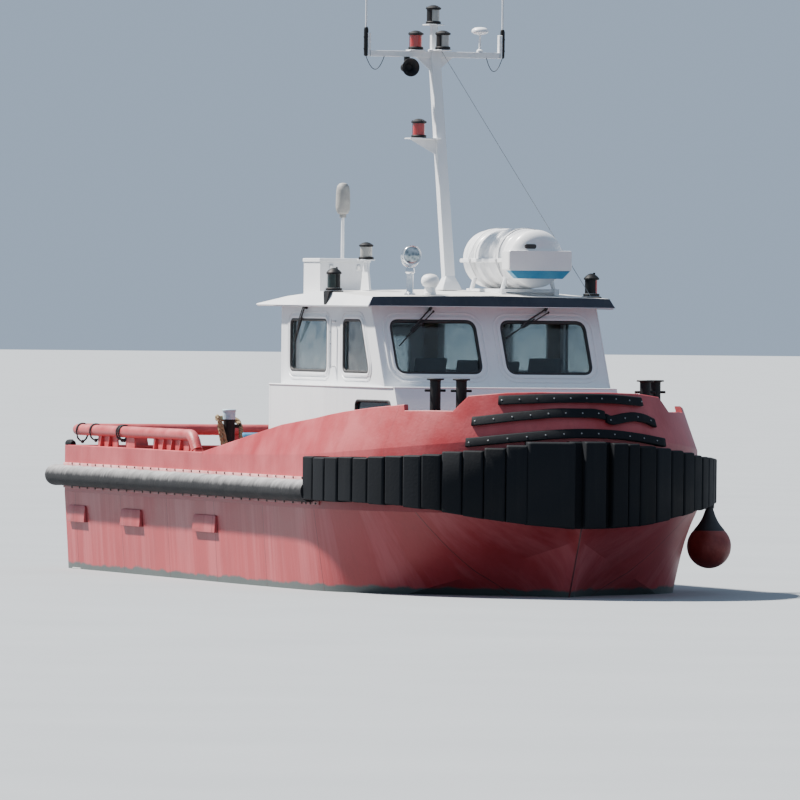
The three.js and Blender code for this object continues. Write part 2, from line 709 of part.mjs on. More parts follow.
// Side windows in distance aft. The forward one slopes with the front wall.
const SIDE_WINDOWS = {
  forward: (shrink = 0) => {
    const shape = new THREE.Shape();
    const [low, high] = [WINDOW_LOW + shrink, WINDOW_HIGH - shrink];
    shape.moveTo(3600 - shrink, low + 70);
    shape.lineTo(3600 - shrink, high - 70);
    shape.quadraticCurveTo(3600 - shrink, high, 3530, high);
    shape.lineTo(3150 + shrink, high);
    shape.quadraticCurveTo(3080 + shrink, high, 3050 + shrink, high - 70);
    shape.lineTo(2850 + shrink, low + 80);
    shape.quadraticCurveTo(2825 + shrink, low, 2900 + shrink, low);
    shape.lineTo(3530, low);
    shape.quadraticCurveTo(3600 - shrink, low, 3600 - shrink, low + 70);
    return shape;
  },
  after: (shrink = 0) => roundedOutline(4080 + shrink, WINDOW_LOW + shrink, 5180 - shrink, WINDOW_HIGH - shrink, 75),
};

function upperSide(side) {
  const outline = polygon([
    [HOUSE_AFT - WALL - GAP, UPPER_BASE],
    [HOUSE_AFT - WALL - GAP, UPPER_TOP],
    [frontAt(UPPER_TOP) + WALL + 1, UPPER_TOP],
    [frontAt(UPPER_BASE) + WALL + 1, UPPER_BASE],
  ]);
  outline.holes = [SIDE_WINDOWS.forward(), SIDE_WINDOWS.after()];
  const wall = lengthwise(outline, innerX, WALL);
  return side > 0 ? wall : mirrored(wall);
}

add('wheelhouse_side_port', upperSide(1), WHITE);
add('wheelhouse_side_starboard', upperSide(-1), WHITE);

// Aft wall from the deck to the eaves, with the doorway and two windows
const DOOR = { halfWidth: 340, sill: 960, head: 2690, thickness: 45, clearance: 6 };
const aftOutline = polygon([
  [-LOWER_HALF_WIDTH, LOWER_BASE],
  [LOWER_HALF_WIDTH, LOWER_BASE],
  [LOWER_HALF_WIDTH, LEDGE_Z],
  [HOUSE_HALF_WIDTH, LEDGE_Z],
  [HOUSE_HALF_WIDTH, UPPER_TOP],
  [-HOUSE_HALF_WIDTH, UPPER_TOP],
  [-HOUSE_HALF_WIDTH, LEDGE_Z],
  [-LOWER_HALF_WIDTH, LEDGE_Z],
]);
aftOutline.holes = [
  roundedOutline(-DOOR.halfWidth, DOOR.sill, DOOR.halfWidth, DOOR.head, 90),
  ...[1, -1].map((side) => paneOf(AFT_WINDOW, side)),
];
const HINGE_X = 352;
const HINGE_AFT = HOUSE_AFT + 22;
const HINGE_HEIGHTS = [1250, 2400];
const KNUCKLE = 45; // half the length of the door's part of a hinge
const pintles = HINGE_HEIGHTS.flatMap((z) => {
  const top = z - KNUCKLE - GAP;
  return [
    bar(point(HINGE_X, HINGE_AFT, top - 60), point(HINGE_X, HINGE_AFT, top), 12),
    block(26, 24, 60, HINGE_X + 7, HOUSE_AFT + 11, top - 30),
  ];
});
add('house_aft', join(across(aftOutline, HOUSE_AFT - WALL, WALL), ...pintles), WHITE);

// Door leaf on lift-off hinges at its port edge
const leafHalf = DOOR.halfWidth - DOOR.clearance;
const leafOutline = roundedOutline(-leafHalf, DOOR.sill + DOOR.clearance, leafHalf, DOOR.head - DOOR.clearance, 85);
const DOOR_WINDOW = { halfWidth: 190, low: 2130, high: 2560, radius: 60 };
const doorPane = (shrink = 0) => roundedOutline(
  -DOOR_WINDOW.halfWidth + shrink, DOOR_WINDOW.low + shrink,
  DOOR_WINDOW.halfWidth - shrink, DOOR_WINDOW.high - shrink, DOOR_WINDOW.radius);
leafOutline.holes = [doorPane()];
const leaf = across(leafOutline, HOUSE_AFT - DOOR.thickness, DOOR.thickness);
const hinges = HINGE_HEIGHTS.map((z) => join(
  bar(point(HINGE_X, HINGE_AFT, z - KNUCKLE), point(HINGE_X, HINGE_AFT, z + KNUCKLE), 12),
  block(66, 14, 50, HINGE_X - 55, HOUSE_AFT + 6, z),
  block(40, 10, 50, HINGE_X - 20, HOUSE_AFT + 11, z),
));
const handle = join(
  bar(point(-260, HOUSE_AFT - 5, 1750), point(-260, HOUSE_AFT + 50, 1750), 10, 10, 8),
  bar(point(-270, HOUSE_AFT + 45, 1750), point(-150, HOUSE_AFT + 45, 1750), 10, 10, 8),
);
add('door', join(leaf, ...hinges, handle), WHITE);

// Panes, each a little smaller than its opening
const paneDepth = (WALL - GLASS) / 2;
for (const [name, side] of [['port', 1], ['starboard', -1]]) {
  const front = rake(across(paneOf(FRONT_WINDOW, side, GAP), HOUSE_FRONT + paneDepth, GLASS), LEDGE_Z);
  add(`glass_front_${name}`, front, TINTED);
  for (const [place, outline] of Object.entries(SIDE_WINDOWS)) {
    const pane = lengthwise(outline(GAP), innerX + paneDepth, GLASS);
    add(`glass_${place}_${name}`, side > 0 ? pane : mirrored(pane), TINTED);
  }
}
for (const [name, side] of [['port', 1], ['starboard', -1]]) {
  add(`glass_aft_${name}`, across(paneOf(AFT_WINDOW, side, GAP), HOUSE_AFT - WALL + paneDepth, GLASS), TINTED);
}
add('glass_door', across(doorPane(GAP), HOUSE_AFT - DOOR.thickness / 2 - GLASS / 2, GLASS), TINTED);

// Roof: flat eaves, a sloping edge all round and a lightly cambered top.
// Columns: distance aft, half width below, half width above, edge height, height on the centreline.
const ROOF = [
  [2560, 1330, 1328, 2866, 2867],
  [2600, 1330, 1282, 2958, 2975],
  [4100, 1330, 1275, 3010, 3040],
  [5150, 1330, 1280, 2955, 2985],
  [6020, 1310, 1300, 2876, 2884],
];
const roofSections = ROOF.map(([aft, below, above, edgeZ, centreZ]) => [
  point(-below, aft, EAVE_Z),
  point(below, aft, EAVE_Z),
  point(above, aft, edgeZ),
  point(0, aft, centreZ),
  point(-above, aft, edgeZ),
]);
add('roof', loft(roofSections), WHITE);

// Height of the roof's top at a place on it
function roofAt(x, aft) {
  const i = Math.max(1, ROOF.findIndex((row) => row[0] >= aft));
  const [low, high] = [ROOF[i - 1], ROOF[i]];
  const share = (aft - low[0]) / (high[0] - low[0]);
  const mix = (column) => low[column] + (high[column] - low[column]) * share;
  return mix(4) + ((mix(3) - mix(4)) * Math.abs(x)) / mix(2);
}

// A lower solid cut away by the roof, so that it stands on the cambered top
const roofSolid = loft(roofSections).translate(0, 0, GAP);
const standOnRoof = (geometry) => cut(geometry, roofSolid);

// Locker on the roof, with a hinged lid
const LOCKER = { x: -850, aft: 4850, width: 540, length: 500, top: 3305, wall: 20 };
const lockerLow = 2930;
const lockerBox = block(LOCKER.width, LOCKER.length, LOCKER.top - lockerLow, LOCKER.x, LOCKER.aft,
  (LOCKER.top + lockerLow) / 2);
const lockerInside = block(LOCKER.width - 2 * LOCKER.wall, LOCKER.length - 2 * LOCKER.wall, 240, LOCKER.x,
  LOCKER.aft, LOCKER.top - 119);
add('roof_locker', standOnRoof(cut(lockerBox, lockerInside)), WHITE);
const lidTop = block(LOCKER.width + 20, LOCKER.length + 20, 40, LOCKER.x, LOCKER.aft, LOCKER.top + GAP + 20);
add('roof_locker_lid', lidTop, WHITE);

// Life raft in its drum-shaped case, lying fore and aft in a cradle
const RAFT = { x: 620, front: 2860, back: 4380, radius: 310, z: 3357 };
// Columns: distance from the case's front, share of its radius
const RAFT_PROFILE = [
  [0, 0], [0, 0.62], [60, 0.86], [150, 0.97], [200, 1], [1320, 1], [1370, 0.97], [1460, 0.86], [1520, 0.62],
  [1520, 0],
];
const raftCase = new THREE.LatheGeometry(
  RAFT_PROFILE.map(([along, share]) => new THREE.Vector2(share * RAFT.radius, along)), 24);
raftCase.translate(RAFT.x, yAt(RAFT.front), RAFT.z);
const seam = block(2 * RAFT.radius + 36, RAFT.back - RAFT.front - 120, 26, RAFT.x,
  (RAFT.front + RAFT.back) / 2, RAFT.z);
add('raft_case', join(raftCase, seam), WHITE);

const cradleBars = [3180, 4060].flatMap((aft) => [
  block(640, 60, 30, RAFT.x, aft, 3032),
  ...[-1, 1].map((way) => bar(point(RAFT.x + way * 290, aft, 3010), point(RAFT.x + way * 245, aft, 3160), 22, 22, 8)),
]);
const cradleRails = [-1, 1].map((way) => block(50, 1000, 80, RAFT.x + way * 290, 3620, 3010));
const raftRoom = new THREE.CylinderGeometry(RAFT.radius + 1, RAFT.radius + 1, 2000, 24);
raftRoom.translate(RAFT.x, yAt(3620), RAFT.z);
add('raft_cradle', standOnRoof(cut(join(...cradleBars, ...cradleRails), raftRoom)), WHITE);

// Mast, raked aft, with its cross arm, lamp shelves, horn and satellite dome
const MAST_FOOT = point(0, 3810, 2990);
const MAST_TOP = point(0, 4330, 5500);
const mastAt = (z) => {
  const share = (z - MAST_FOOT.z) / (MAST_TOP.z - MAST_FOOT.z);
  return MAST_FOOT.clone().lerp(MAST_TOP, share);
};
const ARM_Z = 5450;
const ARM_HALF = 720;
const DOME_X = 500; // satellite dome
const HAILER_X = -300; // loud hailer under the arm
const armY = mastAt(ARM_Z).y;

function onMast(width, length, height, x, dy, z) {
  return new THREE.BoxGeometry(width, length, height).translate(x, mastAt(z).y + dy, z);
}

const mastFoot = turned([[0, 2950], [150, 2950], [150, 3000], [62, 3170], [0, 3170]], 0, 3830, 4);
const mastPost = bar(MAST_FOOT, MAST_TOP, 78, 70, 4);
const armEnds = [-1, 1].flatMap((way) => [
  new THREE.BoxGeometry(36, 60, 240).translate(way * ARM_HALF, armY, ARM_Z + 90),
  bar(new THREE.Vector3(way * (ARM_HALF + 28), armY, ARM_Z - 30), new THREE.Vector3(way * (ARM_HALF + 28), armY, ARM_Z + 270), 24, 20, 8),
  bar(new THREE.Vector3(way * (ARM_HALF + 28), armY, ARM_Z + 250), new THREE.Vector3(way * (ARM_HALF + 28), armY, ARM_Z + 1350), 12, 6, 6),
]);
const mastParts = [
  mastPost,
  mastFoot,
  onMast(2 * ARM_HALF, 60, 60, 0, 0, ARM_Z),
  onMast(150, 300, 16, 10, -150, ARM_Z + 38),
  onMast(170, 190, 16, 10, 0, ARM_Z + 305),
  onMast(70, 70, 300, 10, 10, ARM_Z + 150),
  onMast(340, 180, 16, -190, -20, 4580),
  onMast(170, 150, 16, -200, 0, ARM_Z + 38),
  ...armEnds,
  bar(new THREE.Vector3(DOME_X, armY, ARM_Z), new THREE.Vector3(DOME_X, armY, ARM_Z + 230), 14, 14, 8),
  new THREE.SphereGeometry(88, 14, 8).rotateX(Math.PI / 2).scale(1, 1, 0.45).translate(DOME_X, armY, ARM_Z + 250),
  bar(new THREE.Vector3(HAILER_X, armY, ARM_Z), new THREE.Vector3(HAILER_X, armY, ARM_Z - 110), 30, 24, 10),
  bar(new THREE.Vector3(HAILER_X, armY, ARM_Z - 100), new THREE.Vector3(HAILER_X, armY, ARM_Z - 160), 40, 50, 10),
  bar(new THREE.Vector3(HAILER_X, armY + 10, ARM_Z - 140), new THREE.Vector3(HAILER_X, armY - 120, ARM_Z - 140), 45, 95, 12),
];
add('mast', standOnRoof(join(...mastParts)), WHITE);

// All-round lamps on the mast. Columns: name, X, step forward, height of the shelf it stands on, material.
const LAMPS = [
  ['lamp_top', 10, 0, ARM_Z + 313, BLACK],
  ['lamp_front', 10, -230, ARM_Z + 46, BLACK],
  ['lamp_red_upper', -200, 0, ARM_Z + 46, RED],
  ['lamp_red_lower', -235, -20, 4588, RED],
];

function lamp(x, y, z) {
  const profile = [[0, 0], [78, 0], [78, 26], [64, 30], [64, 150], [80, 156], [80, 168], [40, 190], [16, 196], [0, 196]];
  const geometry = new THREE.LatheGeometry(profile.map(([r, h]) => new THREE.Vector2(r, h)), 14);
  return geometry.rotateX(Math.PI / 2).translate(x, y, z + GAP);
}

for (const [name, x, dy, z, material] of LAMPS) add(name, lamp(x, mastAt(z).y + dy, z), material);

// Searchlight: a fixed post and a head that turns on it
const SEARCH = { x: -770, aft: 2900, z: 3378, radius: 100 };
const searchPost = join(
  turned([[0, 2940], [62, 2940], [62, 2990], [34, 3010], [34, 3205], [0, 3205]], SEARCH.x, SEARCH.aft, 14),
  turned([[0, 3190], [50, 3190], [50, 3215], [0, 3215]], SEARCH.x, SEARCH.aft, 14),
);
add('searchlight_post', standOnRoof(searchPost), STEEL);
const searchHead = join(
  turned([[0, 3215 + GAP], [48, 3215 + GAP], [40, 3250], [0, 3250]], SEARCH.x, SEARCH.aft, 14),
  block(30, 60, 60, SEARCH.x, SEARCH.aft, 3262),
  bar(point(SEARCH.x, SEARCH.aft - 62, SEARCH.z), point(SEARCH.x, SEARCH.aft + 40, SEARCH.z), SEARCH.radius, 85, 20),
  bar(point(SEARCH.x, SEARCH.aft + 38, SEARCH.z), point(SEARCH.x, SEARCH.aft + 95, SEARCH.z), 85, 30, 20),
);
add('searchlight_head', searchHead, STEEL);

// Cowl vent, side lamps, deck lamp and radar reflector on the roof
const vent = join(
  bar(point(-530, 2960, 2940), point(-530, 2960, 3100), 60, 60, 14),
  new THREE.SphereGeometry(92, 14, 10).scale(1, 1, 0.95).translate(-530, yAt(2950), 3100),
);
add('vent', standOnRoof(vent), WHITE);

// Columns: name, X, distance aft
for (const [name, x, aft] of [['starboard', -1235, 3870], ['port', 1225, 2960]]) {
  const foot = roofAt(x, aft) + 12;
  const bracket = block(150, 170, 60, x, aft, foot - 20);
  const body = turned([[0, foot], [84, foot], [84, foot + 24], [64, foot + 30], [64, foot + 190], [50, foot + 210],
    [20, foot + 232], [0, foot + 232]], x, aft, 14);
  add(`sidelight_${name}`, standOnRoof(join(bracket, body)), BLACK);
}

const DECK_LAMP = { x: -840, aft: 4000, z: 3330 };
const lampStand = polygon([
  [DECK_LAMP.aft - 140, 2950],
  [DECK_LAMP.aft + 140, 2950],
  [DECK_LAMP.aft + 40, DECK_LAMP.z],
  [DECK_LAMP.aft - 40, DECK_LAMP.z],
]);
const deckLamp = join(
  lengthwise(lampStand, DECK_LAMP.x - 12, 24),
  block(150, 150, 12, DECK_LAMP.x, DECK_LAMP.aft, DECK_LAMP.z),
  turned([[0, 0], [66, 0], [66, 150], [78, 156], [20, 180], [0, 180]].map(([r, h]) => [r, h + DECK_LAMP.z]),
    DECK_LAMP.x, DECK_LAMP.aft, 14),
);
add('deck_lamp', standOnRoof(deckLamp), GREY);

const REFLECTOR = { x: -645, aft: 5240, neck: 3800, top: 4130, radius: 75 };
const reflectorCase = new THREE.CapsuleGeometry(REFLECTOR.radius, REFLECTOR.top - REFLECTOR.neck - 2 * REFLECTOR.radius, 4, 12);
reflectorCase.rotateX(Math.PI / 2).translate(REFLECTOR.x, yAt(REFLECTOR.aft), (REFLECTOR.neck + REFLECTOR.top) / 2);
const reflector = standOnRoof(join(
  block(110, 110, 90, REFLECTOR.x, REFLECTOR.aft, 2930),
  bar(point(REFLECTOR.x, REFLECTOR.aft, 2930), point(REFLECTOR.x, REFLECTOR.aft, REFLECTOR.neck + 20), 20, 16, 10),
  reflectorCase,
));
add('radar_reflector', reflector, GREY);

// Helm console and seat, seen through the windows
const consoleOutline = polygon([
  [2520, LOWER_BASE], [2520, 2090], [2760, 2140], [2960, 2020], [2960, 1880], [2820, 1830], [2820, LOWER_BASE],
]);
add('helm_console', lengthwise(consoleOutline, -900, 1800), GREY);
const seat = join(
  turned([[0, LOWER_BASE], [220, LOWER_BASE], [220, 870], [60, 890], [60, 1480], [0, 1480]], -420, 3700),
  block(500, 480, 110, -420, 3700, 1530),
  block(480, 90, 560, -420, 3930, 1830),
);
add('helm_seat', seat, BLACK);

// After deck: engine hatch with a hinged lid, tow hook on its post, stern bitt and a drum
const HATCH = { aft: 7700, halfWidth: 480, halfLength: 500, top: 1010 };
const coaming = cut(
  block(2 * HATCH.halfWidth, 2 * HATCH.halfLength, HATCH.top - LOWER_BASE, 0, HATCH.aft, (HATCH.top + LOWER_BASE) / 2),
  block(2 * HATCH.halfWidth - 60, 2 * HATCH.halfLength - 60, 400, 0, HATCH.aft, HATCH.top),
);
add('hatch_coaming', coaming, DARK_RED);
const hatchLid = block(2 * HATCH.halfWidth + 30, 2 * HATCH.halfLength + 30, 40, 0, HATCH.aft, HATCH.top + GAP + 20);
add('hatch_lid', hatchLid, DARK_RED);

const HOOK = { aft: 6350, z: 1330 };
const towPost = join(
  block(300, 200, 20, 0, HOOK.aft, LOWER_BASE + 10),
  block(180, 150, HOOK.z - 40 - LOWER_BASE, 0, HOOK.aft, (HOOK.z - 40 + LOWER_BASE) / 2),
  turned([[0, HOOK.z - 60], [34, HOOK.z - 60], [34, HOOK.z + 60], [0, HOOK.z + 60]], 0, HOOK.aft, 14),
);
add('tow_post', towPost, DARK_RED);
const hookArm = cut(
  join(
    turned([[0, HOOK.z - 40 + GAP], [80, HOOK.z - 40 + GAP], [80, HOOK.z + 40], [0, HOOK.z + 40]], 0, HOOK.aft, 16),
    block(90, 260, 60, 0, HOOK.aft + 170, HOOK.z),
    block(90, 60, 150, 0, HOOK.aft + 330, HOOK.z + 45),
    block(90, 150, 50, 0, HOOK.aft + 290, HOOK.z + 125),
  ),
  bar(point(0, HOOK.aft, HOOK.z - 100), point(0, HOOK.aft, HOOK.z + 100), 40, 40, 14),
);
add('tow_hook', hookArm, BLACK);

// Stern bitts: two posts on one doubling plate across the deck
const STERN_BITT = { x: 650, aft: 8700, radius: 62, top: 1740 };
const sternPosts = [-1, 1].flatMap((side) => [
  turned([[0, LOWER_BASE], [STERN_BITT.radius, LOWER_BASE], [STERN_BITT.radius, STERN_BITT.top - 16],
    [STERN_BITT.radius + 12, STERN_BITT.top - 12], [STERN_BITT.radius + 12, STERN_BITT.top], [0, STERN_BITT.top]],
  side * STERN_BITT.x, STERN_BITT.aft, 14),
  bar(point(side * STERN_BITT.x - 120, STERN_BITT.aft, 1560), point(side * STERN_BITT.x + 120, STERN_BITT.aft, 1560),
    20, 20, 10),
]);
const doubler = block(1560, 200, 20, 0, STERN_BITT.aft, LOWER_BASE + 10);
add('stern_bitts', join(doubler, ...sternPosts), DARK_RED);
add('deck_drum', turned([[0, LOWER_BASE], [170, LOWER_BASE], [170, 1500], [150, 1520], [0, 1520]], -1050, 6650, 18), BLUE);

// Ball fender hung from the end of the port slabs
const BALL = { x: 2205, aft: 2120, z: 461, radius: 225 };
const ballProfile = [[0, -225]];
for (let degrees = -70; degrees <= 50; degrees += 20) {
  ballProfile.push([BALL.radius * Math.cos(radians(degrees)), BALL.radius * Math.sin(radians(degrees))]);
}
ballProfile.push([70, 290], [40, 370], [38, 438], [60, 444], [60, 458.5], [0, 458.5]);
const ball = turned(ballProfile.map(([r, h]) => [r, h + BALL.z]), BALL.x, BALL.aft, 20);
add('ball_fender', ball, ORANGE);

export default tug;
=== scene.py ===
import math

import bmesh
import bpy
import numpy as np
from mathutils import Matrix, Vector


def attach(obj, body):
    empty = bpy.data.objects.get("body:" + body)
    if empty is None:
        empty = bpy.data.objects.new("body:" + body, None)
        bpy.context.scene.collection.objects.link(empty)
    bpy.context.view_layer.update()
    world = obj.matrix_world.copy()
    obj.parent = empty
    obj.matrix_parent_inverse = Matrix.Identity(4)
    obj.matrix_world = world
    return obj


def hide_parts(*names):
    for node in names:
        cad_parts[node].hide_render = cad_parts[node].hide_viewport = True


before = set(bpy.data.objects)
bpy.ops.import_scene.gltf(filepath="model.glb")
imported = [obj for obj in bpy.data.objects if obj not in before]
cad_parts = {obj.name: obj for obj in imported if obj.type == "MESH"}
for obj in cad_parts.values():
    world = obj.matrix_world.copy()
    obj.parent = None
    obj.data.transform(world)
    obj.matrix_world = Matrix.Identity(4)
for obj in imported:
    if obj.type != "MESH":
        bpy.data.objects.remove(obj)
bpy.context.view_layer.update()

# Studio. The floor lies at the still waterline, so the boat sits in it as it does in water.
# The camera stands far off the starboard bow, close to the water, as in the photograph.
FLOOR_HALF = 420.0
floor_mesh = bpy.data.meshes.new("studio_floor")
floor_mesh.from_pydata([(-FLOOR_HALF, -FLOOR_HALF, 0), (FLOOR_HALF, -FLOOR_HALF, 0), (FLOOR_HALF, FLOOR_HALF, 0),
    (-FLOOR_HALF, FLOOR_HALF, 0)], [], [(0, 1, 2, 3)])
floor = bpy.data.objects.new("studio_floor", floor_mesh)
bpy.context.scene.collection.objects.link(floor)


def feed(node, inputs):
    """Sets a node's inputs: plain values go on the sockets themselves, and other nodes' sockets are linked."""
    for key, value in inputs.items():
        if isinstance(value, bpy.types.NodeSocket):
            node.id_data.links.new(value, node.inputs[key])
        else:
            node.inputs[key].default_value = value


def put(tree, kind, inputs=None, **settings):
    """Adds one node with its inputs and settings."""
    made = tree.nodes.new(kind)
    for key, value in settings.items():
        setattr(made, key, value)
    feed(made, inputs or {})
    return made


def mix(tree, share, first, second):
    """The colour that lies by a share between two."""
    return put(tree, "ShaderNodeMix", {0: share, 6: first, 7: second}, data_type="RGBA").outputs[2]


def reckon(tree, operation, *values, clamp=False):
    """One step of arithmetic on up to three values."""
    return put(tree, "ShaderNodeMath", dict(enumerate(values)), operation=operation, use_clamp=clamp).outputs[0]


def spread(tree, value, low, high, first=0.0, last=1.0, **settings):
    """A value with its range from low to high stretched to the range from first to last, and held inside it."""
    return put(tree, "ShaderNodeMapRange", {0: value, 1: low, 2: high, 3: first, 4: last}, **settings).outputs[0]


def noise(tree, place, scale, detail, roughness=0.5):
    """Cloudy noise from 0 to 1."""
    inputs = {"Vector": place, "Scale": scale, "Detail": detail, "Roughness": roughness}
    return put(tree, "ShaderNodeTexNoise", inputs).outputs[0]


def apart(tree, vector):
    """The three parts of a vector."""
    return put(tree, "ShaderNodeSeparateXYZ", {0: vector}).outputs


def bare_material(name):
    """A material with only its shader in it: the material, its tree, the shader and the place on the piece."""
    made = bpy.data.materials.new(name)
    made.use_nodes = True
    tree = made.node_tree
    tree.nodes.clear()
    shader = put(tree, "ShaderNodeBsdfPrincipled")
    put(tree, "ShaderNodeOutputMaterial", {0: shader.outputs[0]})
    return made, tree, shader, put(tree, "ShaderNodeTexCoord").outputs["Object"]


floor_paint, tree, shader, place = bare_material("pale_floor")
cloud = noise(tree, place, 0.4, 2.0)
tone = mix(tree, cloud, (0.3, 0.32, 0.34, 1), (0.35, 0.37, 0.39, 1))
# it throws back less light than it shows, as water does, so the bow's underside stays in shade
bounced = put(tree, "ShaderNodeLightPath").outputs["Is Diffuse Ray"]
calm = mix(tree, bounced, tone, (0.07, 0.076, 0.085, 1))
feed(shader, {"Base Color": calm, "Roughness": 0.7, "Specular IOR Level": 0.25})
floor_mesh.materials.append(floor_paint)

sky = bpy.data.worlds.new("studio_sky")
bpy.context.scene.world = sky
sky.use_nodes = True
SKY_BLUE, SKY_STRENGTH = (0.57, 0.73, 0.95, 1), 0.64
feed(sky.node_tree.nodes["Background"], {"Color": SKY_BLUE, "Strength": SKY_STRENGTH})

SUN_FROM, SUN_STRENGTH, SUN_WIDTH = Vector((-0.44, 0.4, 0.863)), 13.0, math.radians(3)
sun_data = bpy.data.lights.new("soft_sun", "SUN")
sun_data.energy, sun_data.angle, sun_data.color = SUN_STRENGTH, SUN_WIDTH, (1.0, 0.96, 0.9)
sun = bpy.data.objects.new("soft_sun", sun_data)
bpy.context.scene.collection.objects.link(sun)

sun.rotation_mode = "QUATERNION"
sun.rotation_quaternion = SUN_FROM.to_track_quat("Z", "Y")

EYE = Vector((-34.66, -93.04, 2.904))
LOOK = Vector((0.3668, 0.9303, 0)) - 0.01931 * Vector((0.9303, -0.3668, 0)) - 0.01022 * Vector((0, 0, 1))
ROLL = math.radians(0.605)
LENS = 431.6
ahead = LOOK.normalized()
sideways = ahead.cross(Vector((0, 0, 1))).normalized()
upright = sideways.cross(ahead)
right = sideways * math.cos(ROLL) + upright * math.sin(ROLL)
top = right.cross(ahead)
camera_data = bpy.data.cameras.new("photo_camera")
camera_data.lens, camera_data.sensor_width, camera_data.clip_end = LENS, 36, 1500
camera = bpy.data.objects.new("photo_camera", camera_data)
camera.matrix_world = Matrix.Translation(EYE) @ Matrix((right, top, -ahead)).transposed().to_4x4()
bpy.context.scene.collection.objects.link(camera)
bpy.context.scene.camera = camera

# Hull. Welded steel plate with one hard chine, a blunt bow that is half an ellipse in plan and a flat stern.
# The side plates are rolled to the deck's edge and welded along upright seams, and the deck lies on top.
HULL_LENGTH, HALF_BEAM, BOW_LENGTH, CORNER = 10.25, 2.0, 2.6, 0.08
DECK = 0.83
GAP = 0.0003
RUN_SIDE = 90 + 10 * (HULL_LENGTH - CORNER - BOW_LENGTH)
RUN_CORNER = RUN_SIDE + 90
RUN_END = RUN_CORNER + 100


def aft(distance):
    """The y coordinate at a distance in metres aft of the stem."""
    return np.asarray(distance, float) - HULL_LENGTH / 2


def edge_at(run, offset=0.0):
    """Plan of the deck's edge. From 0 to 90 the run is the angle on the bow's half ellipse, then it
    grows by ten for each metre aft, by one for each degree round the stern corner, and by a hundred to
    the centreline. A negative run is to starboard. The offset moves the place outwards, square to the edge, and
    an offset that goes further in than the corner is round turns there in a mitre."""
    run = np.asarray(run, float)
    side, r = np.where(run < 0, -1.0, 1.0), np.abs(run)
    a, c = np.radians(np.clip(r, 0, 90)), np.radians(np.clip(r - RUN_SIDE, 0, 90))
    nx, ny = np.sin(a) / HALF_BEAM, -np.cos(a) / BOW_LENGTH
    size = np.hypot(nx, ny)
    nx, ny = nx / size * np.cos(c), ny / size + np.sin(c)
    x = (HALF_BEAM * np.sin(a) - CORNER * (1 - np.cos(c))) * (1 - np.clip((r - RUN_CORNER) / 100, 0, 1))
    y = aft(BOW_LENGTH * (1 - np.cos(a)) + np.clip((r - 90) / 10, 0, (RUN_SIDE - 90) / 10)) + CORNER * np.sin(c)
    inward = np.maximum(0, 0.001 - CORNER - np.asarray(offset, float))
    x = x + nx * (offset + inward) - inward * np.where((c > 0) & (r < RUN_CORNER), 1, nx)
    y = y + ny * (offset + inward) - inward * np.where(c > 0, 1, ny)
    most_x = np.where(r > RUN_SIDE, HALF_BEAM - CORNER - inward + np.where(r < RUN_CORNER, 9, 0), 9)
    most_y = np.where((r > 90) & (r <= RUN_SIDE), HULL_LENGTH / 2 - CORNER - inward, 99)
    return side * np.minimum(x, most_x), np.minimum(y, most_y)


def runs_from(start, side_steps, corner_steps):
    """Runs from a start on the straight side, round the stern corner and on to the centreline."""
    return np.concatenate([np.linspace(start, RUN_SIDE, side_steps),
        np.linspace(RUN_SIDE, RUN_CORNER, corner_steps)[1:], np.linspace(RUN_CORNER, RUN_END, 9)[1:]])


def flowing(at, knots, values):
    """A smooth line through given values: between two knots it is the cubic that keeps the mean slope at each."""
    knots, values = np.asarray(knots, float), np.asarray(values, float)
    slope = np.gradient(values, knots)
    i = np.clip(np.searchsorted(knots, at, side="right") - 1, 0, len(knots) - 2)
    h = knots[i + 1] - knots[i]
    t = (at - knots[i]) / h
    return (values[i] * (1 + 2 * t) * (1 - t) ** 2 + slope[i] * h * t * (1 - t) ** 2
            + values[i + 1] * t * t * (3 - 2 * t) + slope[i + 1] * h * t * t * (t - 1))


def grid(points, around=False, closed=False):
    """Four-sided faces over an array of points, row by row. around joins each row's ends and closed joins
    the last row to the first. Rows whose ends are left open can be filled by ends()."""
    rows, columns = points.shape[:2]
    r = np.arange(rows if closed else rows - 1)[:, None]
    c = np.arange(columns if around else columns - 1)[None, :]
    r1, c1 = (r + 1) % rows, (c + 1) % columns
    faces = np.stack([r * columns + c, r * columns + c1, r1 * columns + c1, r1 * columns + c], -1)
    return points.reshape(-1, 3), faces.reshape(-1, 4).tolist()


def ends(points):
    """The surface of grid() round its rows, with the first and last row filled."""
    flat, faces = grid(points, around=True)
    rows, columns = points.shape[:2]
    return flat, faces + [list(range(columns)), list(range((rows - 1) * columns, rows * columns))]


def many(stack):
    """One closed body for each array in a stack of them, all in one mesh."""
    made = [ends(points) for points in stack]
    count = made[0][0].shape[0]
    return (np.concatenate([flat for flat, _ in made]),
            [[v + i * count for v in face] for i, (_, faces) in enumerate(made) for face in faces])


def other_side(part):
    """The same surface across the centreline."""
    flat, faces = part[:2]
    return (flat * np.array([-1, 1, 1]), faces, *part[2:])


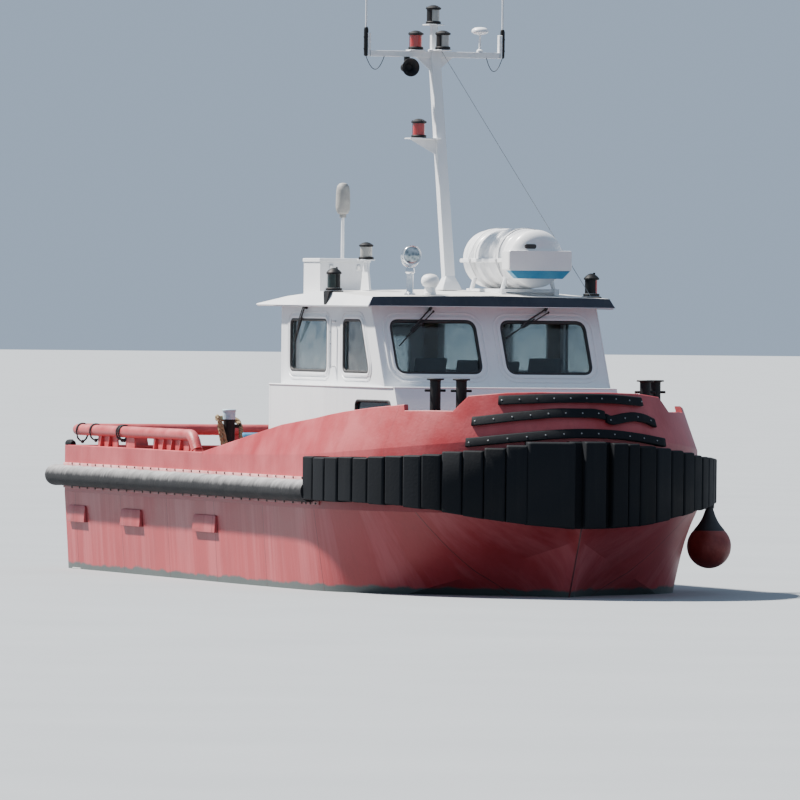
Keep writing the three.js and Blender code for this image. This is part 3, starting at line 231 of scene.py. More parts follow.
def build(name, parts, materials, body="boat", slot=None, stands_for=(), sharp=32, shade=None):
    """Makes one object of closed surfaces: merges their shared points, turns their faces out and shades them
    smooth up to the sharp angle. shade is a value for each point, kept for the material. The piece rides on its
    body."""
    mesh = bpy.data.meshes.new(name)
    places, faces, marks, first = [], [], [], 0
    for part in parts:
        places.append(part[0])
        faces += [[v + first for v in face] for face in part[1]]
        marks += list(part[2]) if len(part) > 2 else [0] * len(part[1])
        first += len(part[0])
    mesh.from_pydata(np.concatenate(places).tolist(), [], faces)
    mesh.polygons.foreach_set("material_index", marks)
    if shade is not None:
        mesh.attributes.new("shade", "FLOAT", "POINT").data.foreach_set("value", np.asarray(shade, np.float32))
    work = bmesh.new()
    work.from_mesh(mesh)
    bmesh.ops.remove_doubles(work, verts=work.verts, dist=2e-5)
    bmesh.ops.recalc_face_normals(work, faces=work.faces)
    work.to_mesh(mesh)
    work.free()
    mesh.shade_smooth()
    mesh.set_sharp_from_angle(angle=math.radians(sharp))
    for material in materials if isinstance(materials, (list, tuple)) else [materials]:
        mesh.materials.append(material)
    made = bpy.data.objects.new(name, mesh)
    bpy.context.scene.collection.objects.link(made)
    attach(made, body)
    if stands_for:
        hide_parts(*([stands_for] if isinstance(stands_for, str) else stands_for))
    return made


def group(name, vectors="", colours="", values=None, give_colours="", give_values=""):
    """A new shader node group: the names of the vectors and colours it takes, its plain values with what they are
    when not set, and the names of the colours and values it gives. The names are parted by spaces."""
    tree = bpy.data.node_groups.new(name, "ShaderNodeTree")
    for labels, way, kind in ((vectors, "INPUT", "Vector"), (colours, "INPUT", "Color"),
            (give_colours, "OUTPUT", "Color"), (give_values, "OUTPUT", "Float")):
        for label in labels.split():
            tree.interface.new_socket(name=label, in_out=way, socket_type=f"NodeSocket{kind}")
    for label, value in (values or {}).items():
        tree.interface.new_socket(name=label, in_out="INPUT", socket_type="NodeSocketFloat").default_value = value
    return tree, put(tree, "NodeGroupInput").outputs, put(tree, "NodeGroupOutput")


# Weathered paint: broad fading, fine mottling and streaks that run straight down
weathered, given, out = group("weathered_paint", "Vector", "Paint Faded Dirt",
    {"Scale": 1.5, "Streaks": 0.4, "Gloss": 0.4}, "Color", "Roughness Height")
broad = noise(weathered, given["Vector"], given["Scale"], 6.0, 0.6)
fading = spread(weathered, broad, 0.36, 0.68)
faded = mix(weathered, fading, given["Paint"], given["Faded"])
tall = put(weathered, "ShaderNodeMapping", {"Vector": given["Vector"], "Scale": (9.0, 9.0, 0.55)}).outputs[0]
drips = noise(weathered, tall, 1.6, 5.0, 0.65)
streak = spread(weathered, drips, 0.52, 0.78)
strength = reckon(weathered, "MULTIPLY", streak, given["Streaks"])
dirty = mix(weathered, strength, faded, given["Dirt"])
fine = noise(weathered, given["Vector"], 38.0, 3.0)
speck = spread(weathered, fine, 0.66, 0.8, 0.0, 0.35)
speckled = mix(weathered, speck, dirty, given["Dirt"])
matt = reckon(weathered, "MULTIPLY_ADD", broad, 0.35, given["Gloss"])
rise = reckon(weathered, "ADD", fine, broad)
feed(out, {"Color": speckled, "Roughness": matt, "Height": rise})


def weathered_paint(name, paint, faded, dirt, gloss=0.3, scale=1.5, streaks=0.35, metal=0.0, bump=0.15, coat=0.0):
    """A painted or bare finish made of the weathered paint group, with its own colours and values."""
    made, tree, shader, place = bare_material(name)
    colour, roughness, height = put(tree, "ShaderNodeGroup", node_tree=weathered).outputs
    feed(colour.node, {"Paint": (*paint, 1), "Faded": (*faded, 1), "Dirt": (*dirt, 1), "Scale": scale,
                       "Streaks": streaks, "Gloss": gloss, "Vector": place})
    relief = put(tree, "ShaderNodeBump", {"Height": height, "Strength": bump, "Distance": 0.01}).outputs[0]
    feed(shader, {"Base Color": colour, "Roughness": roughness, "Normal": relief, "Metallic": metal,
                  "Coat Weight": coat, "Coat Roughness": 0.2})
    return made


def opened(material):
    """What is needed to work on in a weathered paint: its tree, its shader, its colour and the place on the piece."""
    nodes = material.node_tree.nodes
    return (material.node_tree, nodes["Principled BSDF"], nodes["Group"].outputs["Color"],
            nodes["Texture Coordinate"].outputs["Object"])


# Upright weld seams at even steps along the boat
seams, given, out = group("plate_seams", "Vector", "", {"Step": 1.5, "Shift": 0.0, "Width": 0.008}, "", "Mask")
split = apart(seams, given["Vector"])
moved = reckon(seams, "ADD", split[1], given["Shift"])
fold = reckon(seams, "PINGPONG", moved, given["Step"])
bead = spread(seams, fold, 0.0, given["Width"], 1.0, 0.0, interpolation_type="SMOOTHSTEP")
feed(out, {"Mask": bead})

# Plates that have faded unevenly: upright bands with soft edges, which run the whole height of a side
panels, given, out = group("faded_panels", "Vector", "Color Pale", {"Amount": 0.45}, "Color")
stretched = put(panels, "ShaderNodeMapping", {"Vector": given["Vector"], "Scale": (0.4, 1.7, 0.1)}).outputs[0]
patches = noise(panels, stretched, 1.3, 5.0, 0.7)
stepped = spread(panels, patches, 0.47, 0.6)
amount = reckon(panels, "MULTIPLY", stepped, given["Amount"])
paled = mix(panels, amount, given["Color"], given["Pale"])
feed(out, {"Color": paled})

HULL_RED, HULL_PINK, HULL_DIRT = (0.36, 0.028, 0.034), (0.45, 0.06, 0.068), (0.16, 0.018, 0.022)
hull_red = weathered_paint("hull_red", HULL_RED, HULL_PINK, HULL_DIRT, gloss=0.28, scale=1.1, streaks=0.18)
tree, shader, colour, place = opened(hull_red)
seam = put(tree, "ShaderNodeGroup", {"Vector": place, "Step": 0.75, "Shift": -0.2, "Width": 0.007}, node_tree=seams)
PALE_RED, BOOT_GREEN, SEAM_RED = (0.6, 0.15, 0.165, 1), (0.075, 0.092, 0.088, 1), (0.1, 0.018, 0.02, 1)
banded = put(tree, "ShaderNodeGroup", {"Vector": place, "Color": colour, "Pale": PALE_RED}, node_tree=panels)
split = apart(tree, place)
off_stem = reckon(tree, "ABSOLUTE", split[0])
on_stem = spread(tree, off_stem, 0.005, 0.012, 1.0, 0.0)
forward = reckon(tree, "LESS_THAN", split[1], -3.0)
stem_line = reckon(tree, "MULTIPLY", on_stem, forward)
lines = reckon(tree, "MAXIMUM", seam.outputs[0], stem_line)
# near the water the paint turns to a grey-green boot top with a ragged edge, and below it to dull antifouling
ripple = noise(tree, place, 5.0, 5.0)
ragged = reckon(tree, "MULTIPLY_ADD", ripple, -0.1, split[2])
boot = spread(tree, ragged, 0.005, 0.03, 1.0, 0.0)
under = spread(tree, ragged, -0.13, -0.11, 1.0, 0.0)
booted = mix(tree, boot, banded.outputs["Color"], BOOT_GREEN)
fouled = mix(tree, ripple, (0.1, 0.022, 0.02, 1), (0.16, 0.05, 0.04, 1))
wet = mix(tree, under, booted, fouled)
seamed = mix(tree, lines, wet, SEAM_RED)
relief = put(tree, "ShaderNodeBump", {"Height": lines, "Strength": 0.5, "Distance": 0.006,
    "Normal": shader.inputs["Normal"].links[0].from_socket})
feed(shader, {"Base Color": seamed, "Normal": relief.outputs[0]})

deck_red = weathered_paint("deck_red", (0.26, 0.05, 0.05), (0.34, 0.1, 0.095), (0.1, 0.03, 0.03), gloss=0.6,
    scale=3.0, streaks=0.1, bump=0.6)

# columns: run, chine's distance aft, half width and height, keel's distance aft and height
SECTIONS = np.array([[0, 0.1, 0, 0.57, 0.42, -0.12], [14, 0.35, 0.27, 0.45, 0.65, -0.27],
    [28, 0.62, 0.56, 0.325, 0.95, -0.42], [42, 0.88, 0.85, 0.2, 1.25, -0.56], [56, 1.2, 1.17, 0.07, 1.7, -0.7],
    [70, 1.65, 1.54, -0.09, 2.25, -0.82], [80, 2.15, 1.79, -0.19, 2.8, -0.88], [90, 2.75, 1.88, -0.265, 3.4, -0.9],
    [106, 4.2, 1.92, -0.33, 4.2, -0.9], [129, 6.5, 1.92, -0.33, 6.5, -0.88], [149, 8.5, 1.92, -0.24, 8.5, -0.52],
    [157, 9.3, 1.93, -0.18, 9.3, -0.34], [165.5, 10.15, 1.94, -0.13, 10.15, -0.24],
    [210.7, 10.226, 1.925, -0.125, 10.226, -0.235], [255.7, 10.25, 1.88, -0.125, 10.25, -0.23],
    [355.7, 10.25, 0, -0.222, 10.25, -0.23]])
KEEL_HALF_WIDTH = 0.06
run = np.concatenate([np.linspace(0, 90, 73), runs_from(90, 64, 9)[1:]])
SMOOTH_ROWS = 13
smooth = SECTIONS[:SMOOTH_ROWS]
last_smooth = smooth[-1, 0]
columns = [np.where(run < last_smooth, flowing(np.minimum(run, last_smooth), smooth[:, 0], smooth[:, k]),
                    np.interp(run, SECTIONS[:, 0], SECTIONS[:, k])) for k in range(1, 6)]
edge_x, edge_y = edge_at(run)
chine = np.stack([np.maximum(columns[1], 0), aft(columns[0]), columns[2]], -1)
keel = np.stack([np.minimum(np.maximum(columns[1], 0), KEEL_HALF_WIDTH), aft(columns[3]), columns[4]], -1)
sheer = np.stack([edge_x, edge_y, np.full_like(run, DECK)], -1)
share = np.linspace(0, 1, 7)[:, None, None]
side_rows = sheer * (1 - share) + chine * share
bottom_rows = (chine * (1 - share) + keel * share)[1:]
deck_middle = sheer * np.array([0, 1, 1])
keel_middle = keel * np.array([0, 1, 1])
half_hull = np.concatenate([deck_middle[None], side_rows, bottom_rows, keel_middle[None]])
points, faces = grid(half_hull)
deck_faces = half_hull.shape[1] - 1
half = (points, faces, [1] * deck_faces + [0] * (len(faces) - deck_faces))
build("hull_shell", [half, other_side(half)], [hull_red, deck_red], slot="hull_red", stands_for="hull", sharp=12)

# Outlet hoods. Six shallow pressed-steel boxes welded over the overboard outlets, three a side, with rounded
# corners and a lip that stands further off the plating at the bottom.
HOODS = [(5.59, 0.7), (7.95, 0.64), (9.75, 0.57)]  # distance aft of the middle, and length
HOOD_HEIGHT, HOOD_DEPTH, HOOD_Z = 0.178, 0.024, 0.598


def rounded(corners, radius, steps=6):
    """A closed outline through given corners, each rounded by a parabola that starts and ends at its radius
    from the corner along its two sides."""
    corners = np.asarray(corners, float)
    radius = np.broadcast_to(np.asarray(radius, float), len(corners))[:, None]
    before, after = np.roll(corners, 1, 0) - corners, np.roll(corners, -1, 0) - corners
    start = corners + before / np.linalg.norm(before, axis=1)[:, None] * radius
    end = corners + after / np.linalg.norm(after, axis=1)[:, None] * radius
    t = np.linspace(0, 1, steps)[None, :, None]
    curve = start[:, None] * (1 - t) ** 2 + 2 * corners[:, None] * t * (1 - t) + end[:, None] * t ** 2
    return curve.reshape(-1, curve.shape[-1])


def rectangle(left, low, right, high, radius, steps=6):
    """The outline of a rectangle with rounded corners."""
    return rounded([(left, low), (right, low), (right, high), (left, high)], radius, steps)


def prism(outline, levels, place):
    """An outline carried through levels. Each level is a height and a share to which the outline shrinks about
    its middle. place turns the outline's two coordinates and the height, as arrays, into points."""
    outline = np.asarray(outline, float)
    middle = (outline.min(0) + outline.max(0)) / 2
    rows = [np.stack(place(*(middle + (outline - middle) * share).T, np.full(len(outline), level)), -1)
            for level, share in levels]
    return ends(np.stack(rows))


def plate(outline, half_thick, place):
    """A flat plate: an outline carried from one face to the other."""
    return prism(outline, [(-half_thick, 1), (half_thick, 1)], place)


def lay_at(x, y, z):
    """Lays an outline flat at a point. Its heights go up."""
    return lambda u, v, w: (x + u, y + v, z + w)


def face_aft(x, y, z, way=1):
    """Stands an outline up across the boat at a point. Its heights go aft, or forward where the way is -1."""
    return lambda u, v, w: (x + u, y + way * w, z + v)


def face_out(x, y, z):
    """Stands an outline up along the boat at a point. Its heights go to port."""
    return lambda u, v, w: (x + w, y + u, z + v)


hood_levels = [(-0.5, 1.0), (0.7, 1.0), (0.94, 0.99), (1.0, 0.97)]
hoods = []
for far, length in HOODS:
    half, tall = length / 2, HOOD_HEIGHT / 2
    outline = rounded([(half, -tall), (half, tall), (-half, tall), (-half, -tall)], [0.006, 0.06, 0.03, 0.006])
    off_plating = lambda u, v, w: (HALF_BEAM - 0.004 + w * HOOD_DEPTH * (0.75 - 0.25 * v / tall), aft(far) + u,
        HOOD_Z + v)
    hoods.append(prism(outline, hood_levels, off_plating))
build("outlet_hoods", hoods + [other_side(part) for part in hoods], hull_red, slot="hull_red")

# Skeg and shaft gear under the stern. A flat welded keel fin, and for each shaft a tapering bossing, a two-legged
# bracket with its bearing, and the boss that the rudder's stock comes out of.
SKEG = [(3.5, -0.88), (6.5, -0.86), (8.5, -0.5), (8.5, -1.05), (8.3, -1.15), (4.0, -1.15)]
SHAFT_X, SHAFT_Z, BRACKET_AFT, RUDDER_AFT = 0.7, -0.72, 8.72, 9.48


def turned(profile, foot, axis=(0, 0, 1), sides=32, squash=1.0):
    """A turned piece: each pair in the profile is a radius and a distance from the foot along the axis."""
    profile, axis = np.asarray(profile, float), np.asarray(axis, float) / np.linalg.norm(axis)
    other = np.array([1.0, 0, 0]) if abs(axis[0]) < 0.9 else np.array([0, 1.0, 0])
    u = np.cross(axis, other)
    u /= np.linalg.norm(u)
    v = np.cross(axis, u)
    angle = np.linspace(0, 2 * np.pi, sides, endpoint=False)
    ring = np.cos(angle)[:, None] * u + np.sin(angle)[:, None] * v * squash
    points = np.asarray(foot, float) + profile[:, 1, None, None] * axis + profile[:, 0, None, None] * ring[None]
    return ends(points)


def tube(start, end, radius, end_radius=None, sides=20):
    """A straight round bar, or a cone, between two points."""
    start, end = np.asarray(start, float), np.asarray(end, float)
    return turned([(radius, 0), (radius if end_radius is None else end_radius, np.linalg.norm(end - start))], start,
        end - start, sides)


gear = [prism(SKEG, [(-0.055, 0.985), (-0.045, 1), (0.045, 1), (0.055, 0.985)], lambda u, v, w: (w, aft(u), v))]
for side in (1, -1):
    x = side * SHAFT_X
    gear.append(turned([(0.01, -0.05), (0.04, 0), (0.06, 0.7), (0.085, 1.5)], (x, aft(5.5), SHAFT_Z), (0, 1, 0)))
    outer = [(0.062, -0.075), (0.075, -0.06), (0.075, 0.06), (0.062, 0.075), (0.046, 0.075), (0.046, -0.075)]
    barrel = turned(outer, (x, aft(BRACKET_AFT), SHAFT_Z), (0, 1, 0))
    gear.append(grid(barrel[0].reshape(len(outer), 32, 3), around=True, closed=True))
    for way in (1, -1):
        low = np.array([x + way * 0.05, aft(BRACKET_AFT), SHAFT_Z + 0.05])
        high = np.array([x + way * 0.23, aft(BRACKET_AFT), -0.25])
        gear.append(turned([(0.018, 0), (0.018, np.linalg.norm(high - low))], low, high - low, 16, 3.0))
    gear.append(turned([(0.07, 0), (0.07, 0.14), (0.095, 0.2)], (x, aft(RUDDER_AFT), -0.4)))
build("stern_gear", gear, hull_red, slot="hull_red")

# Sacrificial zincs. Short bars of cast zinc low on the hull's sides, which the sea eats away in the steel's place.
# They are cast round steel straps, and the straps are welded to the plating.
zinc_grey = weathered_paint("zinc_grey", (0.22, 0.23, 0.24), (0.3, 0.31, 0.31), (0.14, 0.13, 0.12), gloss=0.5,
    scale=9, streaks=0.1)
zinc = rectangle(-0.15, -0.035, 0.15, 0.035, 0.03)
zincs = []
for far, z in ((7.0, -0.12), (8.6, -0.05), (9.9, -0.02)):
    out_by = HALF_BEAM - 0.08 * (DECK - z) / (DECK + 0.24)
    zincs.append(prism(zinc, [(-0.02, 1), (0.012, 1), (0.028, 0.8)], face_out(out_by, aft(far), z)))
build("zinc_bars", zincs + [other_side(part) for part in zincs], zinc_grey)

# Propellers. Four broad blades and a tapered hub, cast together in bronze and ground smooth. Each is keyed to a
# steel shaft that runs forward into its bossing.
PROPELLER_AFT, BOSS_END = 9.05, 7.0
SIDES = (("port", 1), ("starboard", -1))
BLADE = np.array([[0.05, 0.12, 62, 0.026], [0.12, 0.19, 48, 0.02], [0.2, 0.23, 35, 0.014], [0.265, 0.19, 28, 0.009],
    [0.3, 0.09, 25, 0.005]])
bronze = weathered_paint("cast_bronze", (0.5, 0.33, 0.13), (0.58, 0.42, 0.2), (0.2, 0.22, 0.14), gloss=0.25, scale=8,
    streaks=0.2, metal=0.9, bump=0.25)


def blades(count):
    """Propeller blades. At each radius the section is a thin lens, set at the pitch angle, and the radius grows
    from hub to tip while chord, pitch and thickness flow through the tabled values."""
    radius = np.concatenate([np.linspace(0.05, 0.27, 14), 0.3 - 0.03 * np.linspace(1, 0, 8)[1:] ** 2])
    chord, pitch, thick = (flowing(radius, BLADE[:, 0], BLADE[:, k]) for k in (1, 2, 3))
    chord = chord * np.sqrt(np.clip(1 - ((radius - 0.17) / 0.1305) ** 6, 0.004, 1))
    around = np.linspace(0, 2 * np.pi, 24, endpoint=False)[None, :]
    a, b = -chord[:, None] / 2 * np.cos(around), thick[:, None] / 2 * np.sin(around) + 0.03 * (radius[:, None] - 0.1)
    p = np.radians(pitch)[:, None]
    local = np.stack([a * np.cos(p) - b * np.sin(p), a * np.sin(p) + b * np.cos(p), radius[:, None] + 0 * a], -1)
    turns = np.arange(count) * 2 * np.pi / count
    cosine, sine, none = np.cos(turns), np.sin(turns), 0 * turns
    turn = np.moveaxis(np.array([[cosine, none, sine], [none, none + 1, none], [-sine, none, cosine]]), 2, 0)
    return np.einsum("kij,rcj->krci", turn, local)


hub = [(0.0, -0.095), (0.074, -0.095), (0.08, -0.085), (0.076, 0.0), (0.07, 0.068), (0.06, 0.085), (0.045, 0.12),
    (0.02, 0.146), (0.0, 0.15)]
for label, side in SIDES:
    place = np.array([SHAFT_X, aft(PROPELLER_AFT), SHAFT_Z])
    shaft = tube(place + (0, BOSS_END + 0.0003 - PROPELLER_AFT, 0), place, 0.04, sides=32)
    parts = [shaft, turned(hub, place, (0, 1, 0), 48), many(blades(4) + place)]
    made = parts if side > 0 else [other_side(part) for part in parts]
    build(f"bronze_propeller_{label}", made, bronze, f"propeller_{label}", "bronze", f"propeller_{label}")

# Rudders. Flat-sided foils of welded plate, each hung on a stock that comes down out of its boss. Each level is a
# height, how far the foil reaches ahead of the stock and behind it, and a share of its thickness.
RUDDER_LEVELS = ((-1.08, 0.118, 0.298, 0.85), (-1.07, 0.12, 0.3, 1), (-0.44, 0.13, 0.34, 1),
    (-0.43, 0.128, 0.338, 0.85))
for label, side in SIDES:
    along = np.linspace(0, 1, 15)
    thick = 0.034 * np.sqrt(np.clip(along, 0, 1)) * (1 - along) * 2.6 + 0.004
    outline_x, outline_y = np.concatenate([thick, -thick[::-1]]), np.concatenate([along, along[::-1]])
    x = side * SHAFT_X
    rows = [np.stack([x + outline_x * shrink, aft(RUDDER_AFT - fore) + outline_y * (fore + back),
        np.full(len(outline_x), z)], -1) for z, fore, back, shrink in RUDDER_LEVELS]
    stock = tube((x, aft(RUDDER_AFT), -0.5), (x, aft(RUDDER_AFT), -0.4003), 0.035)
    stiffeners = [tube((x - 0.03, aft(RUDDER_AFT - 0.02), z), (x + 0.03, aft(RUDDER_AFT - 0.02), z), 0.02)
        for z in (-0.6, -0.9)]
    build(f"plated_rudder_{label}", [ends(np.stack(rows)), stock, *stiffeners], hull_red, f"rudder_{label}",
        "deck_red", f"rudder_{label}")

# Bow bulwark. High plating that stands on the deck's edge, folded at a knuckle above which it leans inboard. A flat bar
# is welded along its top, and triangular stays inside hold it to the deck.
BOW_STATIONS = np.array([[0, 1.58, 2.03], [12, 1.575, 2.03], [23, 1.56, 2.02], [34, 1.53, 1.985], [38, 1.515, 1.835],
    [46, 1.49, 1.835], [53, 1.465, 1.83], [53.6, 1.463, 1.89], [64, 1.43, 1.855], [76, 1.395, 1.805],
    [90, 1.365, 1.735], [99.8, 1.345, 1.65], [121, 1.31, 1.34]])
LEAN, PLATE = 0.36, 0.06
BOW_END = 121


def knuckle_at(run):
    """Height of the knuckle at a run along the deck's edge."""
    return np.interp(np.abs(run), BOW_STATIONS[:, 0], BOW_STATIONS[:, 1])


def top_at(run):
    """Height of the bow bulwark's top."""
    return np.interp(np.abs(run), BOW_STATIONS[:, 0], BOW_STATIONS[:, 2])


def on_bow(run, z, out=0.0):
    """A point on the bow bulwark's outer face, or that much outside it: upright to the knuckle and leaning above."""
    x, y = edge_at(run, out - np.clip(np.asarray(z) - knuckle_at(run), 0, None) * LEAN)
    return np.stack(np.broadcast_arrays(x, y, z), -1)


def carried(run, section):
    """A section carried along the deck's edge. section gives pairs of offset and height, each a number or an array
    over the run."""
    columns = [np.stack(np.broadcast_arrays(*edge_at(run, offset), height), -1) for offset, height in section]
    return ends(np.stack(columns, 1))


fine_run = np.unique(np.concatenate([np.linspace(0, 90, 91), np.linspace(90, BOW_END, 40), BOW_STATIONS[:, 0],
    [34.4, 37.6, 53.3]]))
bow_run = np.concatenate([-fine_run[:0:-1], fine_run])
knuckle, top_z = knuckle_at(bow_run), top_at(bow_run)
inset = (top_z - knuckle) * LEAN
THIN, FLANGE = 0.012, 0.014
bow_section = [(0, DECK + GAP), (0, knuckle - 0.004), (-0.001, knuckle + 0.004), (-inset + 0.004, top_z - 0.006),
    (-inset - 0.004, top_z), (-inset - PLATE + 0.004, top_z), (-inset - PLATE, top_z - 0.005),
    (-inset - PLATE, top_z - FLANGE), (-inset - THIN, top_z - FLANGE), (-THIN, knuckle), (-THIN, DECK + GAP)]
bulwark_parts = [carried(bow_run, bow_section)]
stay_runs = np.array([8.0, 20, 31, 43, 57, 68, 80, 92, 98, 104, 110])
for r in np.concatenate([stay_runs, -stay_runs]):
    foot = 1.3 if abs(r) < 64 else DECK
    k, t = float(knuckle_at(r)), float(top_at(r)) - FLANGE
    profile = [(-THIN, foot), (-THIN, k), (-(t - k) * LEAN - THIN, t), (-(t - k) * LEAN - PLATE + 0.004, t),
        (-PLATE + 0.002, foot + 0.1), (-PLATE + 0.002, foot)]
    rows = []
    for way in (-1, 1):
        nudge = way * 0.005
        (x0, y0), (x1, y1) = edge_at(r, 0.0), edge_at(r + 0.01, 0.0)
        line = np.array([x1 - x0, y1 - y0, 0]) / math.hypot(x1 - x0, y1 - y0) * nudge
        rows.append(np.stack([np.array([*edge_at(r, offset), z]) + line for offset, z in profile]))
    bulwark_parts.append(ends(np.stack(rows)))
bow_red = weathered_paint("bow_red", HULL_RED, (0.5, 0.1, 0.11), (0.18, 0.03, 0.03), gloss=0.26, scale=1.6,
    streaks=0.28)
tree, shader, colour, place = opened(bow_red)
seam = put(tree, "ShaderNodeGroup", {"Vector": place, "Step": 0.6, "Shift": 0.35, "Width": 0.006}, node_tree=seams)
feed(shader, {"Base Color": mix(tree, seam.outputs[0], colour, (0.3, 0.05, 0.055, 1))})
build("bow_bulwark_plating", bulwark_parts, bow_red, slot="hull_red", stands_for="bulwark_bow", sharp=14)

# Foredeck. A raised platform of steel plate inside the bow bulwark, on which the forward bitts stand. It is welded
# to the bulwark all round and has the deck's red paint.
FOREDECK = 1.3
fore_run = np.linspace(-64, 64, 97)
fore_x, fore_y = edge_at(fore_run, -PLATE - 0.0006)
fore_rows = [np.stack([fore_x, fore_y, np.full_like(fore_x, z)], -1)
    for z in (DECK + 0.001, FOREDECK - 0.003, FOREDECK)]
build("foredeck_plate", [ends(np.stack(fore_rows))], deck_red, slot="hull_red")

# After bulwark. Low steel plating round the working deck, welded along its edge. Welded stays stiffen it from
# inside, and a broad flat rail caps it.
BULWARK_TOP, RAIL_WIDTH, RAIL_DEPTH = 1.33, 0.17, 0.02
after_half = runs_from(BOW_END + 0.003, 50, 13)
after_run = np.concatenate([after_half, -after_half[-2::-1]])
after_section = [(0, DECK + GAP), (0, BULWARK_TOP - 0.006), (-0.005, BULWARK_TOP), (-RAIL_WIDTH + 0.006, BULWARK_TOP),
    (-RAIL_WIDTH, BULWARK_TOP - 0.006), (-RAIL_WIDTH, BULWARK_TOP - RAIL_DEPTH), (-THIN, BULWARK_TOP - RAIL_DEPTH),
    (-THIN, DECK + GAP)]
after_parts = [carried(after_run, after_section)]
stay = [(-THIN, DECK + GAP), (-THIN, BULWARK_TOP - RAIL_DEPTH), (-0.15, BULWARK_TOP - RAIL_DEPTH),
    (-PLATE, DECK + 0.16), (-PLATE, DECK + GAP)]
for far in np.arange(5.95, 10.0, 0.52):
    for side in (1, -1):
        after_parts.append(plate(stay, 0.005, lambda u, v, w: (side * (HALF_BEAM + u), aft(far) + w, v)))
for x in (-1.5, -0.9, -0.3, 0.3, 0.9, 1.5):
    after_parts.append(plate(stay, 0.005, face_out(x, aft(HULL_LENGTH), 0)))
build("after_bulwark_plating", after_parts, bow_red, slot="hull_red", stands_for="bulwark_aft", sharp=30)

# Push fender. Thick slabs of black rubber bolted side by side round the bow, each with worn, rounded edges
# and its own shade. Their feet step up and down a little from slab to slab.
SLAB_WIDTH, SLAB_THICK, SLABS_A_SIDE = 0.228, 0.2, 16
SLAB_HEIGHTS = np.array([[0, 0.676, 1.556], [6, 0.684, 1.553], [12, 0.705, 1.541], [18, 0.73, 1.515],
    [24, 0.762, 1.484], [30, 0.794, 1.46], [38, 0.842, 1.427], [50, 0.888, 1.388], [60, 0.905, 1.37],
    [80, 0.914, 1.358], [90, 0.91, 1.35]])
rubber_black = weathered_paint("rubber_black", (0.003, 0.004, 0.006), (0.007, 0.009, 0.012), (0.02, 0.021, 0.023),
    gloss=0.55, scale=2.6, streaks=0.45, bump=0.15)
tree, shader, colour, place = opened(rubber_black)
shade = put(tree, "ShaderNodeAttribute", attribute_name="shade").outputs["Fac"]
feed(shader, {"Base Color": mix(tree, shade, colour, (0.015, 0.017, 0.021, 1)), "Specular IOR Level": 0.15})

dense = np.linspace(0, 96, 4000)
face_x, face_y = edge_at(dense, SLAB_THICK)
length = np.concatenate([[0], np.cumsum(np.hypot(np.diff(face_x), np.diff(face_y)))])
chance = np.random.default_rng(11)


def bow_slabs(spots, wide, thick=SLAB_THICK):
    """Rubber slabs, given how far along the slabs' face from the stem each one's middle is and how wide it is. A slab's
    plan is a rounded rectangle set on the chord of the deck's edge, carried up from its foot to its head."""
    count = len(spots)
    middle = np.interp(np.abs(spots), length, dense) * np.sign(spots)
    half = (SLAB_WIDTH - 0.01) / 2
    plan = rectangle(-half, -0.07, half, thick, 0.028, 7)
    cx, cy = edge_at(middle)
    ox, oy = edge_at(middle, 1.0)
    nx, ny = ox - cx, oy - cy
    proud = chance.uniform(-0.01, 0.0, count)
    low = np.interp(np.abs(middle), SLAB_HEIGHTS[:, 0], SLAB_HEIGHTS[:, 1])
    high = np.interp(np.abs(middle), SLAB_HEIGHTS[:, 0], SLAB_HEIGHTS[:, 2])
    low, high = low + chance.uniform(0, 0.014, count), high - 0.002 - chance.uniform(0, 0.012, count)
    slope = np.gradient(np.interp(np.abs(middle), SLAB_HEIGHTS[:, 0], SLAB_HEIGHTS[:, 1]), spots)
    steps = np.array([[0, 0.03], [0.008, 0.01], [0.026, 0.0], [0.5, 0.0], [0.974, 0.0], [0.992, 0.01], [1, 0.03]])
    up, worn = steps[None, :, 0, None], steps[None, :, 1, None]
    u = plan[None, None, :, 0] * (1 - worn * 0.55) * (wide / (2 * half))[:, None, None]
    v = plan[None, None, :, 1] - (plan[:, 1] > 0.05)[None, None] * (worn * 0.9) + proud[:, None, None]
    z = low[:, None, None] + (high - low)[:, None, None] * up + slope[:, None, None] * u * (1 - up)
    x = cx[:, None, None] + nx[:, None, None] * v - ny[:, None, None] * u
    y = cy[:, None, None] + ny[:, None, None] * v + nx[:, None, None] * u
    return np.stack(np.broadcast_arrays(x, y, z), -1)


even = np.arange(3, SLABS_A_SIDE)
slab_spots = np.concatenate([-(0.08 + 0.2227 * even)[::-1], [-0.405, 0.056, 0.334, 0.498], SLAB_WIDTH * even])
slab_wide = np.concatenate([np.full(len(even), 0.213), [0.476, 0.228, 0.176, 0.138],
    np.full(len(even), SLAB_WIDTH - 0.01)])
slab_stack = bow_slabs(slab_spots, slab_wide)
slab_shade = np.repeat(chance.uniform(0, 0.75, len(slab_spots)) ** 2, slab_stack.shape[1] * slab_stack.shape[2])
backing = bow_slabs(np.array([-0.112, 0.208]), np.array([0.16, 0.14]), 0.11)
slab_stack = np.concatenate([slab_stack, backing])
slab_shade = np.concatenate([slab_shade, np.zeros(backing[..., 0].size)])
build("rubber_slabs", [many(slab_stack)], rubber_black, slot="fender_black", stands_for="fender_bow", sharp=40,
    shade=slab_shade)

# Side fender. A hollow round rubber fender from the slabs along both sides and across the stern, clamped between
# two steel flanges by a bolt about every quarter of a metre.
FENDER_Z, FENDER_RADIUS = 1.005, 0.11
FENDER_START = 81.0
rubber_grey = weathered_paint("rubber_grey", (0.009, 0.01, 0.012), (0.022, 0.023, 0.026), (0.05, 0.048, 0.045),
    gloss=0.6, scale=3.2, streaks=0.35, bump=0.5)
